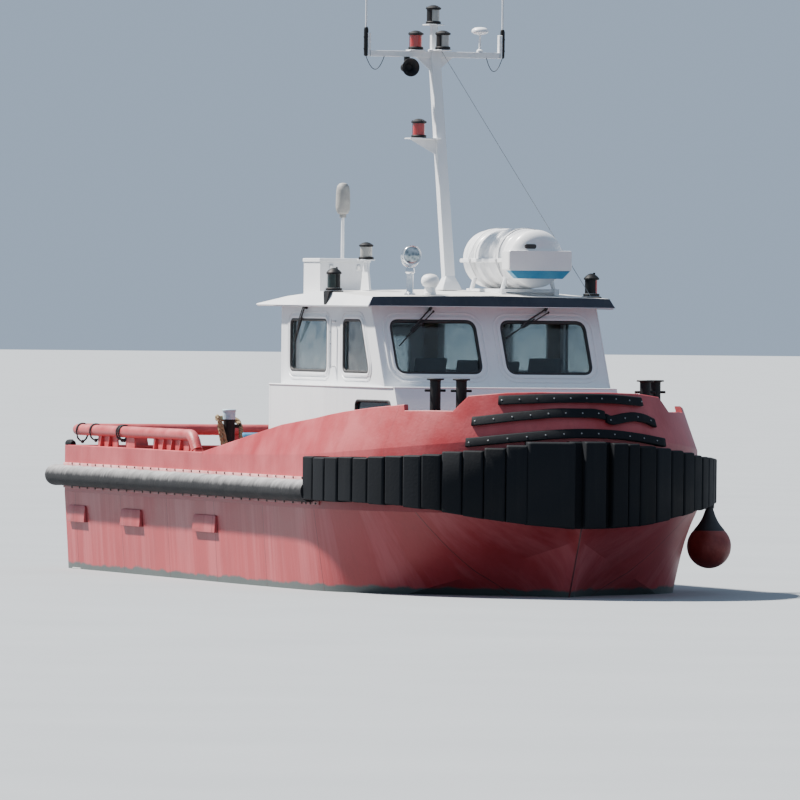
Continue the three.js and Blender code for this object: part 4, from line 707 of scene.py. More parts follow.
# paler colour where a surface faces up, in patches that run down into streaks: dust on the roof, and on the side fender
# dust with a painted sheen of the sun on its top
dust_and_sheen, given, out = group("dust_and_sheen_on_top", "Vector", "Color Dust", {"Amount": 0.4, "Level": 0.55}, "Color")
faces_up = apart(dust_and_sheen, put(dust_and_sheen, "ShaderNodeNewGeometry").outputs["Normal"])
patch = noise(dust_and_sheen, given["Vector"], 4.0, 6.0)
runs = put(dust_and_sheen, "ShaderNodeMapping", {"Vector": given["Vector"], "Scale": (16.0, 16.0, 2.0)}).outputs[0]
run_noise = noise(dust_and_sheen, runs, 1.0, 5.0, 0.7)
ragged = reckon(dust_and_sheen, "MULTIPLY_ADD", run_noise, 0.9, -0.45)
height = reckon(dust_and_sheen, "ADD", faces_up[2], ragged)
level_part = spread(dust_and_sheen, height, given["Level"], 1.0)
mottle = spread(dust_and_sheen, patch, 0.25, 0.6, 0.45, 1.0)
patchy = reckon(dust_and_sheen, "MULTIPLY", level_part, mottle)
pale_share = reckon(dust_and_sheen, "MULTIPLY", patchy, given["Amount"], clamp=True)
dust_and_sheen_colour = mix(dust_and_sheen, pale_share, given["Color"], given["Dust"])
feed(out, {"Color": dust_and_sheen_colour})
tree, shader, colour, place = opened(rubber_grey)
# the side fender is painted pale on its upward faces: partly dust, partly a painted sheen where the sun falls on its
# top
FENDER_DUST_AND_SHEEN = {"Dust": (0.36, 0.355, 0.36, 1), "Amount": 1.0, "Level": 0.12}
dust_and_sheen_node = put(tree, "ShaderNodeGroup", {"Color": colour, "Vector": place, **FENDER_DUST_AND_SHEEN}, node_tree=dust_and_sheen)
feed(shader, {"Base Color": dust_and_sheen_node.outputs[0], "Specular IOR Level": 0.25})
fender_half = runs_from(FENDER_START, 80, 17)
fender_run = np.concatenate([fender_half, -fender_half[-2::-1]])
turn = np.linspace(0, 2 * np.pi, 28, endpoint=False)
bulge = 0.004 * np.sin(fender_run * 1.7) * np.sin(fender_run * 0.31)
round_section = [(np.maximum(FENDER_RADIUS - 0.005 + FENDER_RADIUS * math.cos(a), GAP),
    FENDER_Z + FENDER_RADIUS * math.sin(a) + bulge) for a in turn]
build("round_fender", [carried(fender_run, round_section)], rubber_grey, slot="fender_grey", stands_for="fender_side",
    sharp=50)


def studs(places, outward, radius, height):
    """Small domed bolt heads: at each place three eight-sided rings, the last a smaller one, square to its outward
    line."""
    places, outward = np.asarray(places, float), np.asarray(outward, float)
    outward = outward / np.linalg.norm(outward, axis=1)[:, None]
    other = np.where(np.abs(outward[:, 2:3]) < 0.9, np.array([[0, 0, 1.0]]), np.array([[1.0, 0, 0]]))
    u = np.cross(outward, other)
    u /= np.linalg.norm(u, axis=1)[:, None]
    v = np.cross(outward, u)
    angle = np.linspace(0, 2 * np.pi, 8, endpoint=False)
    ring = np.cos(angle)[None, :, None] * u[:, None] + np.sin(angle)[None, :, None] * v[:, None]
    rows = [places[:, None] + outward[:, None] * rise * height + ring * radius * wide
        for rise, wide in ((-0.5, 1), (0.7, 1), (1.0, 0.62))]
    return many(np.stack(rows, 1))


def flange_section(low):
    """The section of a flat steel bar on the hull, from its lower edge up."""
    return [(offset, low + z) for offset, z in ((0.0, 0), (0.0, 0.034), (0.012, 0.034), (0.014, 0.03), (0.014, 0.0))]


flange_parts = [carried(fender_run, flange_section(FENDER_Z + FENDER_RADIUS - 0.008)),
    carried(fender_run, flange_section(FENDER_Z - FENDER_RADIUS - 0.026))]
# the flange bars are painted a pale pink, much paler than the hull's red: a painted highlight that stands in for the
# sunlit line along their edges
flange_pink = weathered_paint("flange_pink", (0.62, 0.22, 0.22), (0.78, 0.44, 0.43), (0.3, 0.06, 0.06), gloss=0.35,
    scale=4, streaks=0.5)
build("fender_flanges", flange_parts, flange_pink, slot="hull_red", sharp=30)
bolt_black = weathered_paint("bolt_black", (0.02, 0.02, 0.022), (0.06, 0.045, 0.04), (0.16, 0.07, 0.05), gloss=0.4,
    scale=20, streaks=0.5)
BOLT_STEP, BOLT_RADIUS, BOLT_HEIGHT = 2.6, 0.0115, 0.012
bolt_half = np.arange(FENDER_START + 1.2, RUN_SIDE - 0.5, BOLT_STEP)
bolt_runs = np.concatenate([bolt_half, -bolt_half])
bolt_rows = []
for z in (FENDER_Z + FENDER_RADIUS + 0.016, FENDER_Z - FENDER_RADIUS - 0.016):
    x, y = edge_at(bolt_runs, 0.012)
    ox, oy = edge_at(bolt_runs, 1.012)
    places, outward = np.stack([x, y, np.full_like(x, z)], -1), np.stack([ox - x, oy - y, 0 * x], -1)
    bolt_rows.append(studs(places, outward, BOLT_RADIUS, BOLT_HEIGHT))
    stern_x = np.linspace(-1.8, 1.8, 15)
    places = np.stack([stern_x, np.full(15, aft(HULL_LENGTH) + 0.012), np.full(15, z)], -1)
    bolt_rows.append(studs(places, np.tile([[0, 1.0, 0]], (15, 1)), BOLT_RADIUS, BOLT_HEIGHT))
build("fender_bolts", bolt_rows, bolt_black, slot="gear_black")

# Bow strips. Long rubber bars bolted on the leaning face above the slabs, which spare it when the tug pushes a
# higher side. The middle one is in two lengths, and its port length has been knocked down.
STRIP_HEIGHT, STRIP_THICK = 0.092, 0.05
STRIPS = {
    "top": [(-25, 1.945), (-12, 1.967), (0, 1.976), (12, 1.968), (23, 1.94)],
    "middle": [(-32, 1.733), (-20, 1.788), (-8, 1.828), (6, 1.826), (9, 1.752), (14, 1.782), (18, 1.795), (22, 1.78),
               (26.5, 1.725)],
    "low": [(-33, 1.522), (-23, 1.566), (-10, 1.615), (0, 1.631), (10, 1.618), (20, 1.58), (29, 1.533)],
}
strip_bolt_grey = weathered_paint("strip_bolt_grey", (0.25, 0.26, 0.27), (0.34, 0.34, 0.34), (0.1, 0.08, 0.06),
    gloss=0.4, scale=30, metal=0.5)
strip_bolts = []
for label, stops in STRIPS.items():
    angles, heights = np.array(stops).T
    bounds = [angles[0], 7.4, angles[-1]] if label == "middle" else [angles[0], angles[-1]]
    pieces = []
    for a, b in zip(bounds[:-1], bounds[1:]):
        line = np.linspace(a + 0.12, b - 0.12, 72)
        z = np.interp(line, angles, heights)
        z = np.convolve(np.pad(z, 4, "edge"), np.ones(9) / 9, "valid")
        shrink = np.clip(np.minimum(np.arange(72), np.arange(72)[::-1]) / 1.5, 0, 1) * 0.012 - 0.012
        section = [(-0.012, -1.0), (-0.012, 1.0), (0.03, 0.99), (0.044, 0.93), (STRIP_THICK, 0.76),
            (STRIP_THICK, -0.76), (0.044, -0.93), (0.03, -0.99)]
        columns = [on_bow(line, z + up * STRIP_HEIGHT / 2, out_by + np.where(out_by > 0, shrink, 0))
            for out_by, up in section]
        pieces.append(ends(np.stack(columns, 1)))
    build(f"strip_rubber_{label}", pieces, rubber_black, slot="fender_black", stands_for=f"strip_{label}", sharp=40,
          shade=np.full(sum(len(p[0]) for p in pieces), 0.15))
    spots = np.concatenate([np.arange(a + 1.2, b - 0.6, 5.1) for a, b in zip(bounds[:-1], bounds[1:])])
    z = np.interp(spots, angles, heights)
    face, further = on_bow(spots, z, STRIP_THICK), on_bow(spots, z + 0.03, STRIP_THICK + 0.1)
    strip_bolts.append(studs(face, further - face, 0.008, 0.004))
build("strip_bolts", strip_bolts, strip_bolt_grey, slot="gear_grey")

# Foredeck bitts. Pairs of thick steel posts with wide caps and a pin through each, to which ropes are made fast.
# They are painted black and welded to a doubling plate on the foredeck.
POSTS, PIN_Z = [(0.98, 0.85), (1.175, 1.065)], 2.03
black_paint = weathered_paint("black_paint", (0.004, 0.005, 0.007), (0.012, 0.013, 0.015), (0.06, 0.028, 0.02),
    gloss=0.42, scale=6, streaks=0.5, bump=0.2)
feed(opened(black_paint)[1], {"Specular IOR Level": 0.25})
post = [(0.0, 0.0), (0.075, 0.0), (0.075, 0.012), (0.058, 0.022), (0.054, 0.032), (0.054, 0.825), (0.06, 0.832),
    (0.084, 0.834), (0.087, 0.838), (0.087, 0.846), (0.083, 0.85), (0.0, 0.85)]
for label, side in SIDES:
    parts = [prism(rectangle(-0.21, -0.21, 0.21, 0.21, 0.04), [(0, 1), (0.011, 1), (0.014, 0.985)],
                   lay_at(side * 1.078, aft(0.958), FOREDECK + GAP))]
    for x, far in POSTS:
        parts.append(turned(post, (side * x, aft(far), FOREDECK + 0.0004), sides=40))
        pin = [(0.0, 0), (0.01, 0), (0.013, 0.003), (0.013, 0.208), (0.01, 0.211), (0.0, 0.211)]
        parts.append(turned(pin, (side * x - 0.105, aft(far + 0.02), PIN_Z), (0.21, -0.04, 0), sides=16))
    build(f"steel_bitts_{label}", parts, black_paint, slot="gear_black", stands_for=f"bitts_{label}", sharp=28)

# Tow rails. Heavy steel tubes on short webs above the bulwark, which keep a tow rope clear of it. Each side tube
# comes down to the rail in a mitred elbow at its forward end and is capped at its after end.
TUBE_RADIUS, TUBE_Z, TUBE_X, TUBE_FRONT, TUBE_BACK = 0.06, 1.495, 1.875, 6.34, 10.13
WEBS = [(6.45, 7.6), (8.2, 8.48), (8.76, 9.42)]
rail_red = weathered_paint("rail_red", (0.38, 0.045, 0.05), (0.5, 0.11, 0.115), (0.13, 0.03, 0.03), gloss=0.3,
    scale=4, streaks=0.25, bump=0.25)


def swept(path, radius, sides=20):
    """A round piece carried along a path. At each point its section stands square to the line between the
    neighbours, with one axis as near upright as it can be."""
    path = np.asarray(path, float)
    radius = np.broadcast_to(np.asarray(radius, float), len(path))
    line = np.gradient(path, axis=0)
    line /= np.linalg.norm(line, axis=1)[:, None]
    u = np.cross(line, np.array([0.013, 0.009, 1.0]))
    u /= np.linalg.norm(u, axis=1)[:, None]
    v = np.cross(u, line)
    angle = np.linspace(0, 2 * np.pi, sides, endpoint=False)[None, :, None]
    return ends(path[:, None] + radius[:, None, None] * (np.cos(angle) * u[:, None] + np.sin(angle) * v[:, None]))


def bend(start, corner, end, steps=9):
    """A parabola from start to end that leaves and arrives along the lines to the corner."""
    t = np.linspace(0, 1, steps)[:, None]
    return np.asarray(start) * (1 - t) ** 2 + 2 * np.asarray(corner) * t * (1 - t) + np.asarray(end) * t ** 2


WEB_HEIGHT = TUBE_Z - BULWARK_TOP - GAP
for label, side in SIDES:
    x = side * TUBE_X
    low_end = np.array([x, aft(TUBE_FRONT - 0.13), BULWARK_TOP + 0.004])
    elbow = bend((x, aft(TUBE_FRONT - 0.085), TUBE_Z - 0.11), (x, aft(TUBE_FRONT - 0.012), TUBE_Z),
        (x, aft(TUBE_FRONT + 0.09), TUBE_Z))
    path = np.concatenate([low_end[None], elbow, [[x, aft(far), TUBE_Z]
        for far in (7.0, 8.0, 9.0, TUBE_BACK - 0.02, TUBE_BACK - 0.004, TUBE_BACK)]])
    radii = np.full(len(path), TUBE_RADIUS)
    radii[-1], radii[-2] = 0.046, 0.057
    parts = [swept(path, radii, 28)]
    parts.append(prism(rectangle(-0.05, -0.08, 0.05, 0.08, 0.015), [(0, 1), (0.014, 1), (0.018, 0.97)],
                       lay_at(x, aft(TUBE_FRONT - 0.13), BULWARK_TOP + GAP)))
    for start, end in WEBS:
        profile = rounded([(start, 0), (end, 0), (end - 0.02, WEB_HEIGHT), (start + 0.02, WEB_HEIGHT)], 0.012, 4)
        parts.append(plate(profile, 0.008, face_out(x, aft(0), BULWARK_TOP + GAP)))
        for far in np.arange(start + 0.2, end - 0.1, 0.27):
            stiff = [(-0.05, 0), (0.05, 0), (0.03, WEB_HEIGHT - 0.03), (-0.03, WEB_HEIGHT - 0.03)]
            parts.append(plate(stiff, 0.005, face_aft(x, aft(far), BULWARK_TOP + GAP)))
    build(f"tow_rail_{label}", parts, rail_red, slot="hull_red", stands_for=f"rail_{label}", sharp=34)

half = TUBE_X - TUBE_RADIUS - 0.004
path = np.array([[x, aft(TUBE_BACK), TUBE_Z + 0.005] for x in (-half, -half + 0.003, -half + 0.015, -1.0, 0, 1.0,
    half - 0.015, half - 0.003, half)])
parts = [swept(path, [0.046, 0.057, 0.06, 0.06, 0.06, 0.06, 0.06, 0.057, 0.046], 28)]
for x in (-1.2, 0, 1.2):
    web = rounded([(-0.13, 0), (0.13, 0), (0.1, WEB_HEIGHT), (-0.1, WEB_HEIGHT)], 0.012, 4)
    parts.append(plate(web, 0.008, face_aft(x, aft(TUBE_BACK), BULWARK_TOP + GAP)))
build("tow_rail_stern", parts, rail_red, slot="hull_red", stands_for="rail_stern", sharp=34)

# Deckhouse. Welded steel walls on the deck, with a ledge on which the narrower wheelhouse stands. The walls are
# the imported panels; their edges are rounded a little, as folded and ground plate is.
HOUSE_AFT, WALL, RAKE, LEDGE_Z, HOUSE_HALF, HOUSE_FRONT, EAVE_Z = 5.48, 0.05, 0.5, 2.05, 1.22, 2.4, 2.86
WINDOW_LOW, WINDOW_HIGH = 2.19, 2.715
house_white = weathered_paint("house_white", (0.8, 0.82, 0.85), (0.86, 0.87, 0.88), (0.5, 0.5, 0.49), gloss=0.22,
    scale=1.2, streaks=0.16, bump=0.12, coat=0.25)
WALLS = ["house_front", "house_side_port", "house_side_starboard", "house_aft", "wheelhouse_front",
    "wheelhouse_side_port", "wheelhouse_side_starboard"]


def refine(node, material, width=0.004):
    """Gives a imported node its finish, and softens its edges without touching its mesh."""
    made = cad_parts[node]
    made.data.materials.clear()
    made.data.materials.append(material)
    weld = made.modifiers.new("joined_points", "WELD")
    weld.merge_threshold = 0.0001
    rounding = made.modifiers.new("rounded_edges", "BEVEL")
    rounding.width, rounding.segments, rounding.limit_method = width, 2, "ANGLE"
    rounding.angle_limit, rounding.harden_normals = math.radians(28), True
    return made


for node in WALLS:
    refine(node, house_white)

# Window frames. A raised flat rim round each opening with a black rubber gasket inside it, both following the
# opening's own rounded outline.
gasket_black = weathered_paint("gasket_black", (0.012, 0.012, 0.014), (0.03, 0.03, 0.032), (0.06, 0.06, 0.06),
    gloss=0.45, scale=12, streaks=0.2)


def grown(outline, amount):
    """An outline moved outwards by an amount, each point along the mean of its two sides' normals."""
    line = np.roll(outline, -1, 0) - np.roll(outline, 1, 0)
    line /= np.linalg.norm(line, axis=1)[:, None]
    normal = np.stack([line[:, 1], -line[:, 0]], -1)
    area = np.sum(outline[:, 0] * np.roll(outline[:, 1], -1) - outline[:, 1] * np.roll(outline[:, 0], -1))
    return outline + normal * amount * (1 if area > 0 else -1)


def rim(outline, section, place):
    """A closed frame: the outline carried round a section, whose pairs are how far out of the opening and how far off
    the wall it is."""
    columns = [np.stack(place(*grown(outline, out_by).T, np.full(len(outline), rise)), -1) for out_by, rise in section]
    return grid(np.stack(columns, 1), around=True, closed=True)


def on_front(u, z, w):
    """The wheelhouse's raked front: w is the distance off its outer face."""
    return u, aft(HOUSE_FRONT) + (z - LEDGE_Z) * RAKE - w * 0.894, z + w * 0.447


def on_side(side, face):
    """An upright wall that runs fore and aft. The outline's first coordinate is the distance aft."""
    return lambda u, z, w: (side * (face + w), aft(u), z + 0 * w)


def on_back(u, z, w):
    """The aft wall of the house."""
    return u, aft(HOUSE_AFT) + w, z + 0 * w


FRONT_WINDOW = rectangle(0.14, WINDOW_LOW, 1.052, WINDOW_HIGH, 0.095, 9)
FORWARD_WINDOW = rounded([(3.6, WINDOW_LOW), (3.6, WINDOW_HIGH), (3.075, WINDOW_HIGH), (2.828, WINDOW_LOW)],
    [0.07, 0.07, 0.075, 0.08])
AFTER_WINDOW = rectangle(4.08, WINDOW_LOW, 5.18, WINDOW_HIGH, 0.075, 9)
AFT_WINDOW = rectangle(0.56, WINDOW_LOW, 1.04, WINDOW_HIGH, 0.07, 9)
RIM = [(0.012, -0.004), (0.012, 0.01), (0.016, 0.013), (0.042, 0.013), (0.047, 0.009), (0.047, -0.004)]
OUTER_RIM = [(0.066, -0.004), (0.068, 0.006), (0.073, 0.009), (0.084, 0.009), (0.089, 0.006), (0.091, -0.004)]
GASKET = [(-0.016, -0.014), (-0.016, 0.002), (-0.008, 0.01), (0.006, 0.011), (0.013, 0.006), (0.013, -0.014)]
rims, gaskets = [], []
PORT_SIDE, STARBOARD_SIDE = on_side(1, HOUSE_HALF), on_side(-1, HOUSE_HALF)
for outline, place in ((FRONT_WINDOW, on_front), (FRONT_WINDOW * [-1, 1], on_front), (FORWARD_WINDOW, PORT_SIDE),
                       (FORWARD_WINDOW, STARBOARD_SIDE), (AFTER_WINDOW, PORT_SIDE), (AFTER_WINDOW, STARBOARD_SIDE),
                       (AFT_WINDOW, on_back), (AFT_WINDOW * [-1, 1], on_back)):
    rims += [rim(outline, RIM, place), rim(outline, OUTER_RIM, place)]
    gaskets.append(rim(outline, GASKET, place))
build("window_rims", rims, house_white, slot="house_white", sharp=50)
build("window_gaskets", gaskets, gasket_black, slot="gear_black", sharp=50)

# Window glass. Toughened panes, lightly tinted, which rubber gaskets hold in the openings of the walls and the
# door. Dried salt lies on them in a patchy film.
window_glass, tree, shader, place = bare_material("window_glass")
salt = noise(tree, place, 7.0, 6.0)
film = spread(tree, salt, 0.35, 0.8, 0.02, 0.16)
glass_tone = mix(tree, salt, (0.38, 0.45, 0.47, 1), (0.5, 0.56, 0.57, 1))
feed(shader, {"Base Color": glass_tone, "Roughness": film, "Transmission Weight": 1.0, "IOR": 1.45})
PANES = [f"glass_{place}_{side}" for place in ("front", "forward", "after", "aft") for side in ("port", "starboard")]
for node in PANES:
    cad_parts[node].data.materials.clear()
    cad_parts[node].data.materials.append(window_glass)

# Lower side windows. A dark pane of toughened glass on each side, held by a rubber seal. It is let into the
# tapering lower wall just under the ledge.
LOWER_WINDOW = rectangle(2.25, 1.605, 3.06, 1.905, 0.06, 8)
LOWER_HALF, LOWER_FRONT_HALF, LOWER_BREAK = 1.35, 1.2, 3.83
LOWER_LINER = [(-0.006, -0.045), (-0.006, -0.004), (0.004, -0.004), (0.004, -0.045)]
dark_pane, tree, shader, place = bare_material("dark_pane")
mist = noise(tree, place, 5.0, 5.0)
tone = mix(tree, mist, (0.01, 0.013, 0.016, 1), (0.035, 0.042, 0.048, 1))
haze = spread(tree, mist, 0.0, 1.0, 0.05, 0.2)
feed(shader, {"Base Color": tone, "Roughness": haze})


def on_lower_side(side):
    """The tapering lower side of the house: its outer face narrows in a straight line from the break to the front."""
    def place(u, z, w):
        front = 2.2203 - (LEDGE_Z - z) * RAKE
        face = LOWER_HALF - (LOWER_HALF - LOWER_FRONT_HALF) * np.clip((LOWER_BREAK - u) / (LOWER_BREAK - front), 0, 1)
        return side * (face + w), aft(u), z + 0 * w
    return place


for label, side in SIDES:
    put_on = on_lower_side(side)
    build(f"lower_pane_{label}", [prism(LOWER_WINDOW, [(-0.028, 0.995), (-0.018, 0.995)], put_on)], dark_pane,
        slot="window")
    seal = [rim(LOWER_WINDOW, section, put_on) for section in (GASKET, LOWER_LINER)]
    build(f"lower_seal_{label}", seal, gasket_black, slot="gear_black", sharp=50)

# House trim and grab rails. A round bar covers the joint of front and sides, another runs along the ledge's edge, and
# upright rails of bright tube stand on short legs between the side windows and beside the door.
trim = []
for side in (1, -1):
    corner = [(side * (HOUSE_HALF - 0.004), aft(HOUSE_FRONT) + (z - LEDGE_Z) * RAKE + 0.004, z)
        for z in (2.055, 2.3, 2.6, 2.856)]
    trim.append(swept(corner, 0.009, 12))
    ledge_edge = [(side * (LOWER_HALF - 0.002), aft(far), LEDGE_Z - 0.006)
        for far in (LOWER_BREAK, 4.4, 5.0, HOUSE_AFT - 0.012)]
    trim.append(swept([(side * LOWER_FRONT_HALF, aft(2.19), LEDGE_Z - 0.006), *ledge_edge], 0.01, 12))
trim.append(swept([(x, aft(2.172), LEDGE_Z - 0.006) for x in (-1.2, -0.4, 0.4, 1.2)], 0.01, 12))
build("house_trim", trim, house_white, slot="house_white", sharp=50)

steel_bright = weathered_paint("steel_bright", (0.55, 0.56, 0.58), (0.66, 0.67, 0.68), (0.36, 0.3, 0.26), gloss=0.12,
    scale=14, streaks=0.15, metal=0.95, bump=0.1)
rails = []
for side in (1, -1):
    x = side * (HOUSE_HALF + 0.055)
    rails.append(swept([(x, aft(3.84), z) for z in (2.22, 2.3, 2.6, 2.72)], 0.012, 12))
    for z in (2.24, 2.7):
        rails.append(tube((side * (HOUSE_HALF - 0.002), aft(3.84), z), (x, aft(3.84), z), 0.01, sides=12))
for side in (1, -1):
    x = side * 0.46
    rails.append(swept([(x, aft(HOUSE_AFT) + 0.06, z) for z in (1.3, 1.4, 1.8, 1.95)], 0.012, 12))
    for z in (1.33, 1.92):
        rails.append(tube((x, aft(HOUSE_AFT) - 0.002, z), (x, aft(HOUSE_AFT) + 0.06, z), 0.01, sides=12))
build("grab_rails", rails, steel_bright, slot="polished_steel")

# Door. A steel leaf with a pressed margin, hung on lift-off hinges in the house's aft wall and opened by a lever
# handle. Its window is a pane in a rubber seal.
refine("door", house_white, 0.003)
DOOR_WINDOW = rectangle(-0.19, 2.13, 0.19, 2.56, 0.06, 8)
DOOR_EDGE = rectangle(-0.27, 1.06, 0.27, 2.03, 0.05, 8)
door_parts = [rim(DOOR_EDGE, [(-0.012, -0.004), (-0.01, 0.006), (0.01, 0.006), (0.012, -0.004)], on_back)]
build("door_pressing", door_parts, house_white, "door", "house_white", sharp=50)
build("door_window_seal", [rim(DOOR_WINDOW, GASKET, on_back)], gasket_black, "door", "gear_black", sharp=50)
refine("glass_door", window_glass, 0.001)

# Roof. One lightly cambered plate with a fascia all round that slopes outwards to the eaves. The fascia over the
# front windows is navy blue, and the rest is white with a little dust and non-slip grit on top.
ROOF = np.array([[2.56, 1.33, 1.328, 2.866, 2.867], [2.6, 1.33, 1.282, 2.958, 2.975], [4.1, 1.33, 1.275, 3.01, 3.04],
                 [5.15, 1.33, 1.28, 2.955, 2.985], [6.02, 1.31, 1.3, 2.876, 2.884]])


def roof_at(x, distance):
    """Height of the roof's top: straight between the tabled rows, and straight from the ridge to the edge."""
    above, edge_z, centre_z = (np.interp(distance, ROOF[:, 0], ROOF[:, k]) for k in (2, 3, 4))
    return centre_z + (edge_z - centre_z) * np.abs(x) / above


navy_paint = weathered_paint("navy_paint", (0.01, 0.014, 0.03), (0.022, 0.028, 0.048), (0.07, 0.07, 0.075),
    gloss=0.25, scale=3, streaks=0.3)
roof_far = np.concatenate([[2.56, 2.574, 2.588, 2.6, 2.606], np.linspace(2.65, 6.0, 36), [6.014, 6.02]])
below, above = np.interp(roof_far, ROOF[:, 0], ROOF[:, 1]), np.interp(roof_far, ROOF[:, 0], ROOF[:, 2])
edge_z = np.interp(roof_far, ROOF[:, 0], ROOF[:, 3])
camber = np.linspace(1, -1, 25)
columns = [np.stack([-below + 0.004, aft(roof_far), 0 * roof_far + EAVE_Z], -1),
    np.stack([below - 0.004, aft(roof_far), 0 * roof_far + EAVE_Z], -1),
    np.stack([below, aft(roof_far), 0 * roof_far + EAVE_Z + 0.004], -1)]
columns += [np.stack([above * c, aft(roof_far), roof_at(above * c, roof_far) - 0.002 * (abs(c) > 0.99)], -1)
    for c in camber]
columns.append(np.stack([-below, aft(roof_far), 0 * roof_far + EAVE_Z + 0.004], -1))
points, faces = ends(np.stack(columns, 1))
row_of = lambda face: face[0] // len(columns)
marks = [1 if len(face) == 4 and row_of(face) < 3 else 0 for face in faces]
roof_white = weathered_paint("roof_white", (0.78, 0.8, 0.83), (0.84, 0.85, 0.86), (0.42, 0.42, 0.41), gloss=0.35,
    scale=1.6, streaks=0.1, bump=0.2)
tree, shader, colour, place = opened(roof_white)
ROOF_DUST = {"Dust": (0.45, 0.43, 0.39, 1), "Amount": 0.7}
dust_and_sheen_node = put(tree, "ShaderNodeGroup", {"Color": colour, "Vector": place, **ROOF_DUST}, node_tree=dust_and_sheen)
feed(shader, {"Base Color": dust_and_sheen_node.outputs[0]})
build("roof_plate", [(points, faces, marks)], [roof_white, navy_paint], slot="house_white", stands_for="roof", sharp=18)
gutter = [swept([(side * (np.interp(far, ROOF[:, 0], ROOF[:, 1]) - 0.012), aft(far), EAVE_Z - 0.004)
    for far in (2.6, 3.5, 4.5, 5.5, 5.99)], 0.009, 10) for side in (1, -1)]
build("roof_drip_bars", gutter, roof_white, slot="house_white", sharp=60)

# Roof locker. A box of welded steel that stands on the roof, painted white. Its overhanging lid turns on two
# hinges and is held shut by small bright catches.
refine("roof_locker", house_white, 0.004)
refine("roof_locker_lid", house_white, 0.007)
LOCKER_X, LOCKER_AFT, LOCKER_TOP = -0.85, 4.85, 3.305
catch = [prism(rectangle(-0.02, -0.03, 0.02, 0.03, 0.008), [(0, 1), (0.008, 1), (0.01, 0.9)],
               face_out(LOCKER_X + 0.27, aft(LOCKER_AFT + far), LOCKER_TOP - 0.05)) for far in (-0.14, 0.14)]
catch += [prism(rectangle(-0.02, -0.03, 0.02, 0.03, 0.008), [(0, 1), (0.008, 1), (0.01, 0.9)],
                face_aft(LOCKER_X + far, aft(LOCKER_AFT - 0.25), LOCKER_TOP - 0.05, -1)) for far in (-0.15, 0.15)]
build("locker_catches", catch, steel_bright, slot="polished_steel")

# Life raft. A moulded canister in two halves, ribbed round its middle, with a deep flat belt where the halves
# meet, a box with a blue skirt over its forward end, and webbing straps that hold it down in a white cradle.
RAFT_X, RAFT_FRONT, RAFT_RADIUS, RAFT_Z = 0.62, 2.86, 0.31, 3.357
raft_white = weathered_paint("raft_white", (0.82, 0.83, 0.85), (0.88, 0.885, 0.89), (0.55, 0.54, 0.52), gloss=0.16,
    scale=2.5, streaks=0.12, bump=0.08, coat=0.5)
along = np.linspace(0.1, 1.42, 133)
rib = 0.016 * np.clip(np.cos((along - 0.42) * 2 * np.pi / 0.27) * 2.2, -1, 1) * ((along > 0.27) & (along < 1.32))
body = np.stack([RAFT_RADIUS * 0.95 + rib, along], -1)
nose = [(0.0, 0.004), (0.1, 0.006), (0.19, 0.016), (0.235, 0.034), (0.268, 0.062), (0.288, 0.085)]
tail = [(0.288, 1.435), (0.268, 1.458), (0.235, 1.486), (0.19, 1.504), (0.1, 1.514), (0.0, 1.516)]
case = turned(np.concatenate([nose, body, tail]), (RAFT_X, aft(RAFT_FRONT), RAFT_Z), (0, 1, 0), 64)
flange_plan = rounded([(-0.328, aft(2.93)), (0.328, aft(2.93)), (0.328, aft(4.355)), (-0.328, aft(4.355))], 0.09, 10)
flange = prism(flange_plan, [(-0.02, 0.985), (-0.014, 1.0), (0.014, 1.0), (0.02, 0.985)],
    lay_at(RAFT_X, 0, RAFT_Z - 0.02))
BOX_FRONT, BOX_LOW, BOX_HIGH, BOX_HALF = 2.838, -0.122, 0.083, 0.345
box = prism(rectangle(-BOX_HALF, BOX_LOW, BOX_HALF, BOX_HIGH, 0.022, 8),
    [(0.0, 0.975), (0.008, 0.993), (0.022, 1), (0.2, 1), (0.24, 0.93)], face_aft(RAFT_X, aft(BOX_FRONT), RAFT_Z))
build("raft_canister", [case, flange, box], raft_white, slot="raft_white", stands_for="raft_case", sharp=38)
raft_blue = weathered_paint("raft_blue", (0.03, 0.24, 0.42), (0.08, 0.32, 0.48), (0.1, 0.18, 0.22), gloss=0.3,
    scale=6, streaks=0.2, bump=0.08)
skirt = rounded([(-0.335, BOX_LOW + 0.004), (-0.25, -0.202), (0.25, -0.202), (0.335, BOX_LOW + 0.004)], 0.012)
build("raft_blue_skirt", [prism(skirt, [(0.0, 0.98), (0.008, 1), (0.1, 1)],
    face_aft(RAFT_X, aft(BOX_FRONT + 0.008), RAFT_Z))], raft_blue, slot="drum_blue")
grips = [prism(rectangle(-0.062, -0.024, 0.062, 0.024, 0.024, 8), [(0, 1), (0.016, 1), (0.019, 0.94)],
    face_aft(RAFT_X - 0.1, aft(RAFT_FRONT + 0.022), RAFT_Z + 0.125, -1)),
    tube((RAFT_X - 0.1, aft(RAFT_FRONT + 0.004), RAFT_Z + 0.125),
    (RAFT_X - 0.1, aft(RAFT_FRONT - 0.004), RAFT_Z + 0.125), 0.011)]
build("raft_handle", grips, gasket_black, slot="gear_black")
strap_grey = weathered_paint("strap_grey", (0.42, 0.43, 0.45), (0.55, 0.56, 0.57), (0.22, 0.21, 0.2), gloss=0.7,
    scale=40, streaks=0.1, bump=0.5)
straps = []
for far in (3.245, 3.995):
    angle = np.linspace(-0.62, math.pi + 0.62, 48)
    reach = RAFT_RADIUS + 0.004 + 0.024 * np.exp(-(np.sin(angle) / 0.22) ** 2)
    line = np.stack([RAFT_X + reach * np.cos(angle), np.full(48, aft(far)), RAFT_Z + reach * np.sin(angle)], -1)
    normal = np.stack([np.cos(angle), 0 * angle, np.sin(angle)], -1)
    across_strap = np.array([0, 0.0125, 0])
    straps.append(ends(np.stack([line - across_strap, line + across_strap, line + across_strap + normal * 0.003,
        line - across_strap + normal * 0.003], 1)))
